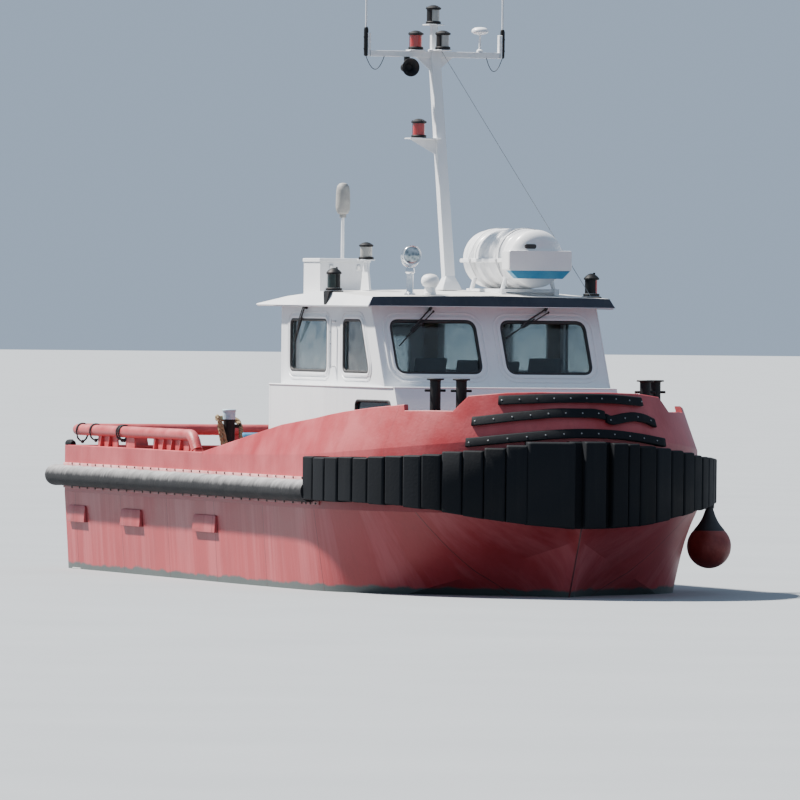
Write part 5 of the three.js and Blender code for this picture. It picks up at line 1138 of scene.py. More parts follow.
build("raft_straps", straps, strap_grey, slot="gear_black")
refine("raft_cradle", house_white, 0.003)

# Mast. A square steel post that rakes aft, with a flared foot, a cross arm and small shelves for its lamps. Two whip
# aerials stand at the ends of the arm, with a satellite dome and a loud hailer between.
MAST_FOOT_AFT, MAST_TOP_AFT, MAST_LOW, MAST_HIGH = 3.81, 4.33, 2.99, 5.5
ARM_Z, ARM_HALF = 5.45, 0.72


def mast_y(z):
    """Where the raked mast's middle is at a height."""
    return aft(MAST_FOOT_AFT
        + (np.asarray(z, float) - MAST_LOW) / (MAST_HIGH - MAST_LOW) * (MAST_TOP_AFT - MAST_FOOT_AFT))


def brick(width, length, height, x, y, z):
    """A small rounded block: a rounded plan with softened top and bottom edges."""
    soft, half = 0.003, height / 2
    shrink = 1 - 2 * soft / max(min(width, length), 0.02)
    plan = rectangle(-width / 2, -length / 2, width / 2, length / 2, min(0.006, width / 3, length / 3), 4)
    return prism(plan, [(-half, shrink), (-half + soft, 1), (half - soft, 1), (half, shrink)], lay_at(x, y, z))


arm_y = float(mast_y(ARM_Z))
square = rectangle(-1, -1, 1, 1, 0.14, 5)


def squares(rows):
    """A square piece through levels, each a height, half its width, and where its middle is fore and aft."""
    return ends(np.stack([np.stack([square[:, 0] * half, y + square[:, 1] * half, np.full(len(square), z)], -1)
        for z, half, y in rows]))


POST = ((2.99, 0.055), (3.4, 0.0545), (4.0, 0.0535), (4.6, 0.052), (5.2, 0.0505), (5.494, 0.0497), (5.5, 0.046))
FOOT = ((3.032, 0.107, 3.83), (3.046, 0.106, 3.83), (3.17, 0.05, 3.838), (3.175, 0.046, 3.838))
# the lamps' shelves and the short post under the top one: width, length, height, x, step aft of the mast's middle
# and height above the waterline
SHELVES = (
    (0.15, 0.3, 0.012, 0.01, -0.15, ARM_Z + 0.038), (0.17, 0.19, 0.012, 0.01, 0, ARM_Z + 0.305),
    (0.066, 0.066, 0.3, 0.01, 0.01, ARM_Z + 0.15), (0.34, 0.18, 0.012, -0.19, -0.02, 4.58),
    (0.17, 0.15, 0.012, -0.2, 0, ARM_Z + 0.038))
mast_parts = [squares([(z, half, mast_y(z)) for z, half in POST]),
    squares([(z, half, aft(far)) for z, half, far in FOOT]), brick(2 * ARM_HALF, 0.06, 0.06, 0, arm_y, ARM_Z)]
mast_parts += [brick(width, deep, tall, x, float(mast_y(z)) + step, z)
    for width, deep, tall, x, step, z in SHELVES]
for way in (-1, 1):
    mast_parts.append(brick(0.034, 0.06, 0.24, way * ARM_HALF, arm_y, ARM_Z + 0.09))
    gusset = [(0.05, -0.03), (0.2, -0.03), (0.05, -0.16)]
    mast_parts.append(plate(gusset, 0.004, lambda u, v, w: (way * u, arm_y + w, ARM_Z + v)))
mast_parts.append(plate([(-0.05, 4.572), (-0.33, 4.572), (-0.05, 4.42)], 0.004,
    lambda u, v, w: (u, mast_y(4.5) + w, v)))
DOME_X, AERIAL_X, HAILER_X = 0.5, ARM_HALF + 0.028, -0.3
dome = [(0, 0.21), (0.03, 0.212), (0.07, 0.222), (0.086, 0.238), (0.088, 0.25), (0.08, 0.268), (0.055, 0.284),
    (0.02, 0.289), (0, 0.2895)]
mast_parts += [tube((DOME_X, arm_y, ARM_Z + 0.02), (DOME_X, arm_y, ARM_Z + 0.225), 0.012),
               turned(dome, (DOME_X, arm_y, ARM_Z), sides=40),
               turned([(0.034, -0.018), (0.034, 0.0), (0.018, 0.012)], (DOME_X, arm_y, ARM_Z + 0.05))]
for way in (-1, 1):
    x = way * AERIAL_X
    mast_parts.append(turned([(0.011, 0.25), (0.01, 0.6), (0.006, 1.34), (0.003, 1.35), (0, 1.35)], (x, arm_y, ARM_Z),
        sides=12))
build("mast_frame", mast_parts, house_white, slot="house_white", stands_for="mast", sharp=35)
fittings = []
for way in (-1, 1):
    x = way * AERIAL_X
    fittings.append(turned([(0.014, -0.03), (0.022, -0.02), (0.024, 0.05), (0.024, 0.24), (0.019, 0.262),
        (0.012, 0.268)], (x, arm_y, ARM_Z), sides=20))
    for z in (0.04, 0.16):
        fittings.append(tube((x, arm_y, ARM_Z + z), (x, arm_y, ARM_Z + z + 0.012), 0.027))
horn = [(0.024, 0), (0.03, 0.02), (0.033, 0.05), (0.045, 0.08), (0.07, 0.11), (0.095, 0.13), (0.093, 0.133),
    (0.06, 0.112), (0.03, 0.07), (0, 0.06)]
horn_back = [(0.035, 0), (0.042, 0.01), (0.042, 0.075), (0.03, 0.09)]
fittings += [turned(horn, (HAILER_X, arm_y + 0.01, ARM_Z - 0.14), (0, -1, 0), 36),
             brick(0.05, 0.05, 0.1, HAILER_X, arm_y, ARM_Z - 0.075),
             turned(horn_back, (HAILER_X, arm_y, ARM_Z - 0.14), (0, 1, 0), 24)]
build("mast_fittings", fittings, black_paint, slot="gear_black", sharp=35)


def hanging(a, b, spare, count):
    """A slack line between two points: the straight line with a parabola of sag under it."""
    t = np.linspace(0, 1, count)[:, None]
    return np.asarray(a, float) * (1 - t) + np.asarray(b, float) * t - np.array([0, 0, 4 * spare]) * t * (1 - t)


def length_of(path):
    """The length along a line of points."""
    return float(np.linalg.norm(np.diff(path, axis=0), axis=1).sum())


def cord_of(name, path, diameter, material, slot):
    """A round cord through the points of a path, with the thickness that it has."""
    made = build(name, [swept(path, diameter / 2, 8)], material, slot=slot, sharp=60)
    tuple(path[0])
    length_of(path)


for label, way in SIDES:
    x = way * AERIAL_X
    loop = bend((x, arm_y, ARM_Z - 0.028), (x - way * 0.1, arm_y - 0.01, ARM_Z - 0.3),
        (way * 0.56, arm_y - 0.034, ARM_Z - 0.028), 25)
    cord_of(f"aerial_lead_{label}", loop, 0.008, gasket_black, "gear_black")
stay_wire = weathered_paint("stay_wire", (0.22, 0.23, 0.24), (0.35, 0.36, 0.37), (0.16, 0.12, 0.1), gloss=0.3,
    scale=60, streaks=0.1, metal=0.8)
stay = hanging((0.055, arm_y - 0.02, ARM_Z + 0.06), (1.14, aft(2.76), float(roof_at(1.14, 2.76)) + 0.012), 0.004, 24)
cord_of("forward_stay", stay, 0.006, stay_wire, "polished_steel")

# Navigation lamps. Each has a black base and cap, a moulded lens ribbed all round, and a black shade over the
# sector it may not show in; four stand on the mast and one on a bracket by the locker.
LENS_RIB = 0.004


def ribbed_lens(name, dark, bright, roughness=0.12, coat=0.6):
    """Moulded lamp glass: level ribs in painted shade and highlight, from a dark tone in the grooves to a bright one on
    the ridges.
    """
    made, tree, shader, place = bare_material(name)
    rib = spread(tree, reckon(tree, "PINGPONG", apart(tree, place)[2], LENS_RIB), 0.0, LENS_RIB)
    feed(shader, {"Base Color": mix(tree, rib, (*dark, 1), (*bright, 1)), "Roughness": roughness, "Coat Weight": coat})
    return made


lens_red = ribbed_lens("lens_red", (0.28, 0.006, 0.01), (0.62, 0.03, 0.03))
lens_clear = ribbed_lens("lens_clear", (0.22, 0.215, 0.2), (0.55, 0.54, 0.5), 0.08)
LAMP_BASE = [(0, 0), (0.078, 0), (0.078, 0.022), (0.072, 0.028), (0.0, 0.028)]
LAMP_CAP = [(0, 0.148), (0.072, 0.148), (0.08, 0.156), (0.08, 0.166), (0.07, 0.172), (0.042, 0.188), (0.018, 0.195),
    (0, 0.196)]


def lamp_lens(x, y, z, height=0.122, radius=0.062):
    """A lens whose radius waves a little with the height, in fine moulded ribs."""
    rise = np.linspace(0, height, 37)
    wave = radius + 0.0018 * np.abs(np.sin(rise / height * np.pi * 12))
    return turned(np.stack([np.concatenate([[0], wave, [0]]), np.concatenate([[0], rise, [height]])], -1),
        (x, y, z + 0.027), sides=36)


def lamp_shade(x, y, z, facing, spread, height=0.122, radius=0.0665):
    """A curved black plate round part of a lamp, between two levels."""
    angle = np.radians(facing) + np.linspace(-spread, spread, 15)
    inner, outer = radius, radius + 0.004
    arc = np.stack([np.cos(angle), np.sin(angle)], -1)
    plan = np.concatenate([outer * arc, inner * arc[::-1]])
    return ends(np.stack([np.concatenate([plan + (x, y), np.full((30, 1), z + 0.027 + rise)], 1)
        for rise in (0, height)]))


LAMPS = {"lamp_top": (0.01, 0.0, ARM_Z + 0.313, lens_clear, "gear_black"),
    "lamp_front": (0.01, -0.23, ARM_Z + 0.046, lens_clear, "gear_black"),
    "lamp_red_upper": (-0.2, 0.0, ARM_Z + 0.046, lens_red, "lamp_red"),
    "lamp_red_lower": (-0.235, -0.02, 4.588, lens_red, "lamp_red")}
for node, (x, step, z, lens, slot) in LAMPS.items():
    y = float(mast_y(z)) + step
    lugs = [tube((x + dx, y + dy, z + 0.15), (x + dx, y + dy, z + 0.178), 0.007, sides=10)
        for dx, dy in ((0.06, 0.03), (-0.06, 0.03), (0.0, -0.066))]
    holder = [turned(LAMP_BASE, (x, y, z + GAP), sides=36), turned(LAMP_CAP, (x, y, z + GAP), sides=36), *lugs]
    shade_at = 205 if lens is lens_clear else 90
    holder.append(lamp_shade(x, y, z, shade_at, 0.55 if lens is lens_clear else 0.9))
    build(f"{node}_holder", holder, black_paint, slot="gear_black", stands_for=node, sharp=30)
    build(f"{node}_lens", [lamp_lens(x, y, z)], lens, slot=slot, sharp=70)

DECK_LAMP_X, DECK_LAMP_AFT, DECK_LAMP_Z = -0.84, 4.0, 3.33
foot_z = float(roof_at(DECK_LAMP_X, DECK_LAMP_AFT)) + 0.004
stand = [(-0.13, foot_z), (0.13, foot_z), (0.04, DECK_LAMP_Z), (-0.04, DECK_LAMP_Z)]
holder = [plate(stand, 0.011, face_out(DECK_LAMP_X, aft(DECK_LAMP_AFT), 0)),
          brick(0.146, 0.146, 0.012, DECK_LAMP_X, aft(DECK_LAMP_AFT), DECK_LAMP_Z)]
x, y, z = DECK_LAMP_X, float(aft(DECK_LAMP_AFT)), DECK_LAMP_Z + 0.004
build("deck_lamp_stand", holder, house_white, slot="gear_grey", stands_for="deck_lamp")
build("deck_lamp_holder", [turned(LAMP_BASE, (x, y, z), sides=36),
    turned([(r * 0.93, h - 0.018) for r, h in LAMP_CAP], (x, y, z), sides=36),
    lamp_shade(x, y, z, 80, 0.9, 0.104, 0.064)], black_paint, slot="gear_black", sharp=30)
build("deck_lamp_lens", [lamp_lens(x, y, z, 0.104, 0.06)], lens_clear, slot="gear_grey", sharp=70)

# Sidelights. Black moulded lamps at the roof's edges, each on a folded bracket that runs down over the fascia, with a
# coloured lens that shows forward and outboard only: green to starboard and red to port.
lens_green = ribbed_lens("lens_green", (0.001, 0.009, 0.008), (0.003, 0.022, 0.018), coat=0.0)
SIDELIGHT_BASE = [(0, 0), (0.08, 0), (0.084, 0.004), (0.084, 0.02), (0.078, 0.026), (0.0, 0.026)]
SIDELIGHT_CAP = [(0, 0.165), (0.07, 0.165), (0.08, 0.172), (0.078, 0.184), (0.058, 0.206), (0.03, 0.226),
    (0.012, 0.232), (0, 0.232)]
for label, x, far, lens, facing, spread_by in (("starboard", -1.235, 3.87, lens_green, 32, 2.09),
        ("port", 1.225, 2.96, lens_red, 158, 2.27)):
    y, foot = float(aft(far)), float(roof_at(x, far)) + 0.012
    way = 1 if x > 0 else -1
    body = [turned(SIDELIGHT_BASE, (x, y, foot), sides=36), turned(SIDELIGHT_CAP, (x, y, foot), sides=36),
            lamp_shade(x, y, foot, facing, spread_by, 0.142, 0.063), brick(0.15, 0.17, 0.012, x, y, foot - 0.008),
            brick(0.02, 0.02, 0.05, x + 0.04, y + 0.03, foot + 0.215)]
    # the bracket's section, from the roof's edge down over the fascia
    drop = [(x + way * 0.074, foot - 0.01), (x + way * 0.082, foot - 0.012), (x + way * 0.095, EAVE_Z + 0.012),
            (x + way * 0.085, EAVE_Z + 0.01)]
    body.append(prism(drop, [(-0.085, 1), (0.085, 1)], lambda u, v, w: (np.clip(u, -1.3295, 1.3295),
        y + w * np.clip((v - EAVE_Z + 0.03) / 0.1, 0.25, 1), v)))
    build(f"sidelight_body_{label}", body, black_paint, slot="gear_black", stands_for=f"sidelight_{label}", sharp=30)
    build(f"sidelight_lens_{label}", [lamp_lens(x, y, foot, 0.142, 0.06)], lens, slot="gear_black", sharp=70)

# Searchlight. A drum of polished steel with a rolled rim and a glass face, held in a fork. The fork turns on a
# polished pillar that is bolted to the roof.
SEARCH_X, SEARCH_AFT, SEARCH_Z = -0.77, 2.9, 3.378
polished = weathered_paint("polished_steel", (0.72, 0.74, 0.77), (0.8, 0.82, 0.84), (0.45, 0.43, 0.4), gloss=0.02,
    scale=7, streaks=0.15, metal=1.0, bump=0.04)
pillar = [(0, 0), (0.062, 0), (0.062, 0.008), (0.05, 0.014), (0.036, 0.028), (0.034, 0.045), (0.034, 0.215),
    (0.046, 0.225), (0.05, 0.232), (0.05, 0.24), (0, 0.24)]
foot_z = float(roof_at(SEARCH_X, SEARCH_AFT)) + 0.003
pillar = [(r, h * (3.215 - foot_z) / 0.24) for r, h in pillar]
build("searchlight_pillar", [turned(pillar, (SEARCH_X, aft(SEARCH_AFT), foot_z), sides=40)], polished,
    slot="polished_steel", stands_for="searchlight_post", sharp=30)
drum = [(0, -0.052), (0.088, -0.052), (0.09, -0.06), (0.097, -0.062), (0.1, -0.056), (0.1, -0.044), (0.094, -0.04),
    (0.092, 0.02), (0.086, 0.042), (0.07, 0.064), (0.048, 0.082), (0.028, 0.094), (0, 0.096)]
swivel = [(0, 0), (0.048, 0), (0.048, 0.01), (0.04, 0.035), (0.02, 0.045), (0.018, 0.075)]
head = [turned(drum, (SEARCH_X, aft(SEARCH_AFT), SEARCH_Z), (0, 1, 0), 48),
    turned(swivel, (SEARCH_X, aft(SEARCH_AFT), 3.2153))]
for way in (1, -1):
    fork = bend((SEARCH_X, aft(SEARCH_AFT), 3.262), (SEARCH_X + way * 0.1, aft(SEARCH_AFT), 3.262),
        (SEARCH_X + way * 0.094, aft(SEARCH_AFT), SEARCH_Z), 9)
    head.append(swept(fork, 0.008, 10))
build("searchlight_drum", head, polished, "searchlight", "polished_steel", "searchlight_head", sharp=30)
lamp_glass, tree, shader, place = bare_material("lamp_glass")
facet = put(tree, "ShaderNodeTexVoronoi", {"Vector": place, "Scale": 26.0}).outputs[0]
tone = mix(tree, facet, (0.1, 0.16, 0.18, 1), (0.62, 0.7, 0.73, 1))
feed(shader, {"Base Color": tone, "Roughness": 0.06, "Metallic": 0.6, "Coat Weight": 1.0})
face = [(0, -0.061), (0.03, -0.0605), (0.06, -0.059), (0.082, -0.056), (0.088, -0.05), (0, -0.05)]
build("searchlight_glass", [turned(face, (SEARCH_X, aft(SEARCH_AFT), SEARCH_Z), (0, 1, 0), 48)], lamp_glass,
    "searchlight", "polished_steel", sharp=60)

# Cowl vent. A hollow ball of white plastic on a short pipe, moulded with a wide dark mouth that faces aft. Its
# foot is bolted to the roof.
VENT_X, VENT_AFT, VENT_Z = -0.53, 2.958, float(roof_at(-0.53, 2.96))
cowl = [(0.062, 0.0), (0.062, 0.02), (0.056, 0.026), (0.056, 0.08), (0.075, 0.092), (0.09, 0.118), (0.092, 0.14),
    (0.086, 0.168), (0.068, 0.192), (0.04, 0.206), (0.0, 0.211)]
build("cowl_vent", [turned(cowl, (VENT_X, aft(VENT_AFT), VENT_Z), sides=40)], roof_white, slot="house_white",
    stands_for="vent", sharp=35)
mouth = turned([(0.058, 0), (0.06, 0.006), (0.052, 0.01), (0.0, 0.004)],
    (VENT_X, aft(VENT_AFT) + 0.08, VENT_Z + 0.135), (0, 1, 0.1), 30)
build("vent_mouth", [mouth], gasket_black, slot="gear_black", sharp=40)

# Radar reflector. A tall moulded case of weathered grey plastic with the reflector inside it. It is clamped to the
# top of a short white pole beside the locker.
REFLECTOR_X, REFLECTOR_AFT = -0.645, 5.24
case_grey = weathered_paint("case_grey", (0.28, 0.28, 0.27), (0.4, 0.39, 0.37), (0.16, 0.14, 0.12), gloss=0.45,
    scale=9, streaks=0.4, bump=0.3)
case = [(0, 3.8), (0.03, 3.801), (0.055, 3.815), (0.07, 3.845), (0.075, 3.88), (0.074, 3.96), (0.071, 4.05),
    (0.062, 4.095), (0.04, 4.121), (0.015, 4.129), (0, 4.13)]
pole_z = float(roof_at(REFLECTOR_X, REFLECTOR_AFT))
build("reflector_case", [turned(case, (REFLECTOR_X, aft(REFLECTOR_AFT), 0), sides=36),
    tube((REFLECTOR_X, aft(REFLECTOR_AFT), 3.77), (REFLECTOR_X, aft(REFLECTOR_AFT), 3.805), 0.034)], case_grey,
    slot="gear_grey", stands_for="radar_reflector", sharp=30)
build("reflector_pole", [turned([(0.054, 0.001), (0.054, 0.01), (0.024, 0.016), (0.02, 0.05),
    (0.016, 3.775 - pole_z)], (REFLECTOR_X, aft(REFLECTOR_AFT), pole_z), sides=20)], house_white, slot="gear_grey")

# Wheelhouse inside. Painted steel lined with tan boards, a pale ceiling, a dark console with its displays, wheel and
# levers right across the front, and one helm chair on a pedestal.
tan_board = weathered_paint("tan_board", (0.3, 0.24, 0.15), (0.36, 0.29, 0.19), (0.18, 0.14, 0.09), gloss=0.5,
    scale=6, streaks=0.05)
console_grey = weathered_paint("console_grey", (0.045, 0.048, 0.055), (0.07, 0.072, 0.08), (0.12, 0.11, 0.1),
    gloss=0.45, scale=12, streaks=0.02, bump=0.3)
seat_black = weathered_paint("seat_black", (0.018, 0.018, 0.02), (0.05, 0.05, 0.052), (0.08, 0.075, 0.07), gloss=0.5,
    scale=30, streaks=0.0, bump=0.35)
screen_glass, tree, shader, place = bare_material("screen_glass")
glow = noise(tree, place, 9.0, 3.0)
tone = mix(tree, glow, (0.006, 0.009, 0.012, 1), (0.02, 0.05, 0.06, 1))
feed(shader, {"Base Color": tone, "Roughness": 0.08})
refine("helm_console", console_grey, 0.008)
INSIDE = HOUSE_HALF - WALL
boards = []
for side in (1, -1):
    lined = on_side(side, INSIDE)
    for far, end, low, high in ((2.95, 5.38, 1.16, 2.14), (3.67, 4.01, 2.145, 2.76), (5.25, 5.38, 2.145, 2.76)):
        boards.append(prism(rectangle(far, low, end, high, 0.01, 3),
            [(-0.01, 0.998), (-0.008, 1), (-0.002, 1), (-0.001, 0.998)], lined))
for side in (1, -1):
    for left, end, low, high in ((0.33, 1.15, 1.16, 2.13), (0.33, 0.49, 2.135, 2.76), (1.11, 1.15, 2.135, 2.76)):
        boards.append(prism(rectangle(left, low, end, high, 0.008, 3),
            [(-0.01, 0.998), (-0.008, 1), (-0.002, 1), (-0.001, 0.998)],
            lambda u, z, w: (side * u, aft(HOUSE_AFT) - WALL + w, z)))
build("lining_boards", boards, tan_board, slot="seat_black")
ceiling = prism(rounded([(-1.15, aft(2.86)), (1.15, aft(2.86)), (1.15, aft(5.4)), (-1.15, aft(5.4))], 0.03),
    [(2.838, 0.998), (2.84, 1), (2.852, 1), (2.854, 0.999)], lay_at(0, 0, 0))
build("ceiling_liner", [ceiling], house_white, slot="house_white")
screens, frames = [], []
for x, width, height, far in ((-0.62, 0.34, 0.24, 2.74), (-0.18, 0.3, 0.2, 2.76), (0.22, 0.26, 0.18, 2.77),
        (0.62, 0.36, 0.25, 2.74)):
    stand_on = lambda u, v, w: (x + u, aft(far) + w * 0.94 - v * 0.34, 2.155 + v * 0.94 + w * 0.34)
    frames.append(prism(rectangle(-width / 2, -height / 2 + 0.08, width / 2, height / 2 + 0.08, 0.016, 4),
        [(-0.03, 0.9), (-0.026, 0.97), (-0.006, 1), (0.0, 0.985)], stand_on))
    frames.append(prism(rectangle(-0.03, -0.1, 0.03, 0.06, 0.01, 3), [(-0.024, 1), (-0.01, 1)], stand_on))
    screens.append(prism(rectangle(-width / 2 + 0.018, -height / 2 + 0.102, width / 2 - 0.018, height / 2 + 0.062,
        0.008, 3), [(-0.002, 1), (0.0012, 1), (0.0018, 0.995)], stand_on))
build("display_cases", frames, console_grey, slot="seat_black", sharp=28)
build("display_faces", screens, screen_glass, slot="seat_black")
WHEEL_RADIUS, WHEEL_RIM = 0.17, 0.014
wheel_place = np.array([-0.42, aft(3.02), 1.86])
turn = np.linspace(0, 2 * np.pi, 49)[:-1]
tilt = np.array([0, 0.82, 0.57])
rise = np.array([0, -0.57, 0.82])
loop = wheel_place + WHEEL_RADIUS * (np.cos(turn)[:, None] * np.array([1.0, 0, 0]) + np.sin(turn)[:, None] * rise)
around = np.linspace(0, 2 * np.pi, 12, endpoint=False)
outwards = (loop - wheel_place) / WHEEL_RADIUS
rim_rings = loop[:, None] + WHEEL_RIM * (np.cos(around)[None, :, None] * outwards[:, None]
    + np.sin(around)[None, :, None] * tilt)
wheel = [grid(rim_rings, around=True, closed=True), tube(wheel_place - tilt * 0.06, wheel_place + tilt * 0.016, 0.032)]
for k in range(5):
    out_to = wheel_place + 0.168 * (math.cos(k * 1.2566 + 0.3) * np.array([1.0, 0, 0])
        + math.sin(k * 1.2566 + 0.3) * rise)
    wheel.append(tube(wheel_place, out_to, 0.009, 0.007, 10))
levers = []
for x in (0.06, 0.14, 0.3, 0.38):
    levers += [tube((x, aft(2.9), 2.02), (x, aft(2.93), 2.17), 0.006, sides=10),
        turned([(0.0, -0.018), (0.012, -0.012), (0.016, 0), (0.012, 0.012), (0, 0.018)], (x, aft(2.932), 2.178),
        sides=16)]
levers.append(turned([(0.07, 0), (0.075, 0.012), (0.06, 0.05), (0.035, 0.078), (0, 0.088)], (-0.02, aft(2.62), 2.115),
    sides=28))
build("helm_wheel", wheel, gasket_black, slot="seat_black", sharp=50)
build("throttle_levers", levers, console_grey, slot="seat_black", sharp=50)


def cushion(low, high, crown):
    """A padded block: a rounded box whose two broad faces swell towards the middle and whose sides pull in between the
    corners. u and v run round and across a squared circle, so the whole skin is one closed grid."""
    waist, steps = 0.06, 26
    low, high = np.asarray(low, float), np.asarray(high, float)
    middle, half = (low + high) / 2, (high - low) / 2
    u = np.linspace(0, 2 * np.pi, 4 * steps, endpoint=False)[None, :]
    v = np.linspace(-np.pi / 2, np.pi / 2, 2 * steps)[:, None]
    power = lambda value, k: np.sign(value) * np.abs(value) ** k
    reach = power(np.cos(v), 0.25)
    x, y, z = reach * power(np.cos(u), 0.22), reach * power(np.sin(u), 0.22), power(np.sin(v), 0.55) + 0 * u
    pull = 1 - waist * (1 - np.abs(x) ** 2 * np.abs(y) ** 2) * (1 - np.abs(z)) * 0.5
    swell = 1 + crown * (1 - x ** 2) * (1 - y ** 2)
    return ends(np.stack([middle[0] + half[0] * x * pull, middle[1] + half[1] * y * pull,
        middle[2] + half[2] * z * swell / (1 + crown)], -1))


SEAT_X, SEAT_AFT = -0.42, 3.7
seat = build("helm_seat_cushion", [cushion((SEAT_X - 0.25, aft(SEAT_AFT) - 0.24, 1.478),
    (SEAT_X + 0.25, aft(SEAT_AFT) + 0.24, 1.59), 0.35)], seat_black, slot="seat_black", stands_for="helm_seat",
    sharp=80)
back = cushion((-0.24, -0.27, -0.05), (0.24, 0.27, 0.05), 0.4)
corners = np.asarray(back[0], float)
back_points = np.stack([SEAT_X + corners[:, 0], aft(3.935) + corners[:, 2] + corners[:, 1] * 0.1,
    1.84 + corners[:, 1]], -1)
rest = build("helm_seat_back", [(back_points, [face[::-1] for face in back[1]])], seat_black,
    slot="seat_black", sharp=80)
pedestal = [turned([(0, 0), (0.2, 0), (0.205, 0.012), (0.19, 0.022), (0.075, 0.034), (0.062, 0.06), (0.058, 0.34),
    (0.07, 0.345), (0.07, 0.52), (0.11, 0.6), (0.19, 0.622), (0.19, 0.634), (0, 0.634)],
    (SEAT_X, aft(SEAT_AFT), DECK + GAP + 0.012), sides=36), brick(0.1, 0.03, 0.4, SEAT_X, float(aft(3.99)), 1.66),
    brick(0.1, 0.34, 0.02, SEAT_X, float(aft(3.83)), 1.466)]
build("helm_seat_pedestal", pedestal, console_grey, slot="gear_black")

# Window wipers. Two painted rods side by side from a spindle under the eave, with a rubber blade at their end: one
# on each front window and one on the after starboard window.
wipers = []
for place, pivot, tip in ((on_front, (-0.596, 2.83), (-1.000, 2.47)), (on_front, (0.657, 2.835), (0.168, 2.56)),
        (on_side(-1, HOUSE_HALF), (4.7, 2.838), (5.03, 2.47))):
    pivot, tip = np.array(pivot), np.array(tip)
    run = tip - pivot
    across = np.array([-run[1], run[0]]) / np.linalg.norm(run)
    at = lambda p, w: np.array([float(c) for c in place(p[0], p[1], w)])
    wipers.append(tube(at(pivot, 0.001), at(pivot, 0.04), 0.016, sides=20))
    wipers.append(tube(at(pivot + across * 0.04, 0.001), at(pivot + across * 0.04, 0.034), 0.01, sides=16))
    for offset, width in ((0, 0.0085), (0.04, 0.006)):
        line = [at(pivot + across * offset, 0.03), at(pivot + across * offset * 0.9 + run * 0.35, 0.034),
            at(pivot + across * offset * 0.7 + run * 0.62, 0.024)]
        wipers.append(swept(np.array(line), width, 10))
    lift = lambda t: 0.012 + 0.012 * math.sin(math.pi * min(max((t - 0.28) / 0.72, 0), 1))
    blade = [at(pivot + across * 0.016 + run * t, lift(t)) for t in np.linspace(0.3, 1.0, 13)]
    wipers.append(swept(np.array(blade), 0.0075, 8))
    edge = [at(pivot + across * 0.016 + run * t, 0.0075) for t in np.linspace(0.3, 1.0, 9)]
    wipers.append(swept(np.array(edge), 0.0055, 6))
build("window_wipers", wipers, gasket_black, slot="gear_black", sharp=40)

# After deck. A raised steel hatch with dogged lid, a tow post with its swivelling hook, and two mooring bitts near
# the stern that carry a brown hawser.
refine("hatch_coaming", deck_red, 0.004)
refine("hatch_lid", deck_red, 0.006)
HATCH_AFT, LID_TOP = 7.7, 1.05
dogs = []
for x, along in ((-0.4, 0.3), (0.4, 0.3), (-0.4, -0.3), (0.4, -0.3)):
    spot = (x, aft(HATCH_AFT + along), LID_TOP + 0.0004)
    dogs.append(turned([(0, 0), (0.028, 0), (0.028, 0.008), (0.014, 0.014), (0.012, 0.034), (0, 0.036)], spot,
        sides=20))
    dogs.append(brick(0.14, 0.022, 0.012, x, float(aft(HATCH_AFT + along)), LID_TOP + 0.036))
grip = bend((-0.09, aft(8.05), LID_TOP), (-0.07, aft(8.05), LID_TOP + 0.075), (0, aft(8.05), LID_TOP + 0.06), 9)
handle = np.concatenate([grip, (grip * np.array([-1.0, 1, 1]))[::-1][1:]])
dogs.append(swept(handle, 0.009, 12))
build("hatch_dogs", dogs, steel_bright, "hatch_lid", "gear_black")
knuckles = []
for x in (-0.3, 0.3):
    knuckles.append(tube((x - 0.04, aft(7.185), 1.0103), (x + 0.04, aft(7.185), 1.0103), 0.009, sides=16))
    knuckles.append(brick(0.09, 0.006, 0.06, x, float(aft(7.196)), 0.975))
build("hatch_hinges", knuckles, steel_bright, slot="gear_black")
refine("tow_post", black_paint, 0.005)
hook_grey = weathered_paint("hook_paint", (0.09, 0.09, 0.1), (0.18, 0.17, 0.16), (0.16, 0.08, 0.05), gloss=0.4,
    scale=10, streaks=0.3, metal=0.3, bump=0.4)
refine("tow_hook", hook_grey, 0.006)
bead = [swept([(x, aft(6.35 + d), DECK + 0.006) for x, d in ((-0.152, -0.102), (0.152, -0.102), (0.152, 0.102),
    (-0.152, 0.102), (-0.152, -0.102))], 0.006, 8)]
build("tow_post_weld", bead, black_paint, slot="gear_black")
BITT_AFT, BITT_TOP = 8.7, 1.74
cap_blue = weathered_paint("cap_blue", (0.3, 0.52, 0.66), (0.62, 0.74, 0.8), (0.3, 0.32, 0.34), gloss=0.4, scale=14,
    streaks=0.4, bump=0.3)
posts, caps = [], []
for side in (1, -1):
    x = side * 0.65
    post = [(0.0, 0.0), (0.062, 0.0), (0.062, BITT_TOP - DECK - 0.11), (0, BITT_TOP - DECK - 0.11)]
    posts.append(turned(post, (x, aft(BITT_AFT), DECK + GAP), sides=36))
    caps.append(turned([(0.06, -0.11), (0.066, -0.108), (0.068, -0.03), (0.074, -0.022), (0.074, -0.006), (0.068, 0),
        (0, 0.001)], (x, aft(BITT_AFT), BITT_TOP), sides=36))
    posts.append(tube((x - 0.12, aft(BITT_AFT), 1.56), (x + 0.12, aft(BITT_AFT), 1.56), 0.02))
    for end in (-0.118, 0.118):
        posts.append(turned([(0, -0.006), (0.03, -0.006), (0.034, 0), (0.03, 0.006), (0, 0.006)],
            (x + end, aft(BITT_AFT), 1.56), (1, 0, 0), 24))
posts.append(prism(rectangle(-0.78, -0.1, 0.78, 0.1, 0.03), [(0, 1), (0.016, 1), (0.02, 0.985)],
    lay_at(0, aft(BITT_AFT), DECK + GAP)))
build("stern_bitt_posts", posts, black_paint, slot="gear_black", stands_for="stern_bitts", sharp=34)
build("stern_bitt_caps", caps, cap_blue, slot="gear_black", sharp=30)


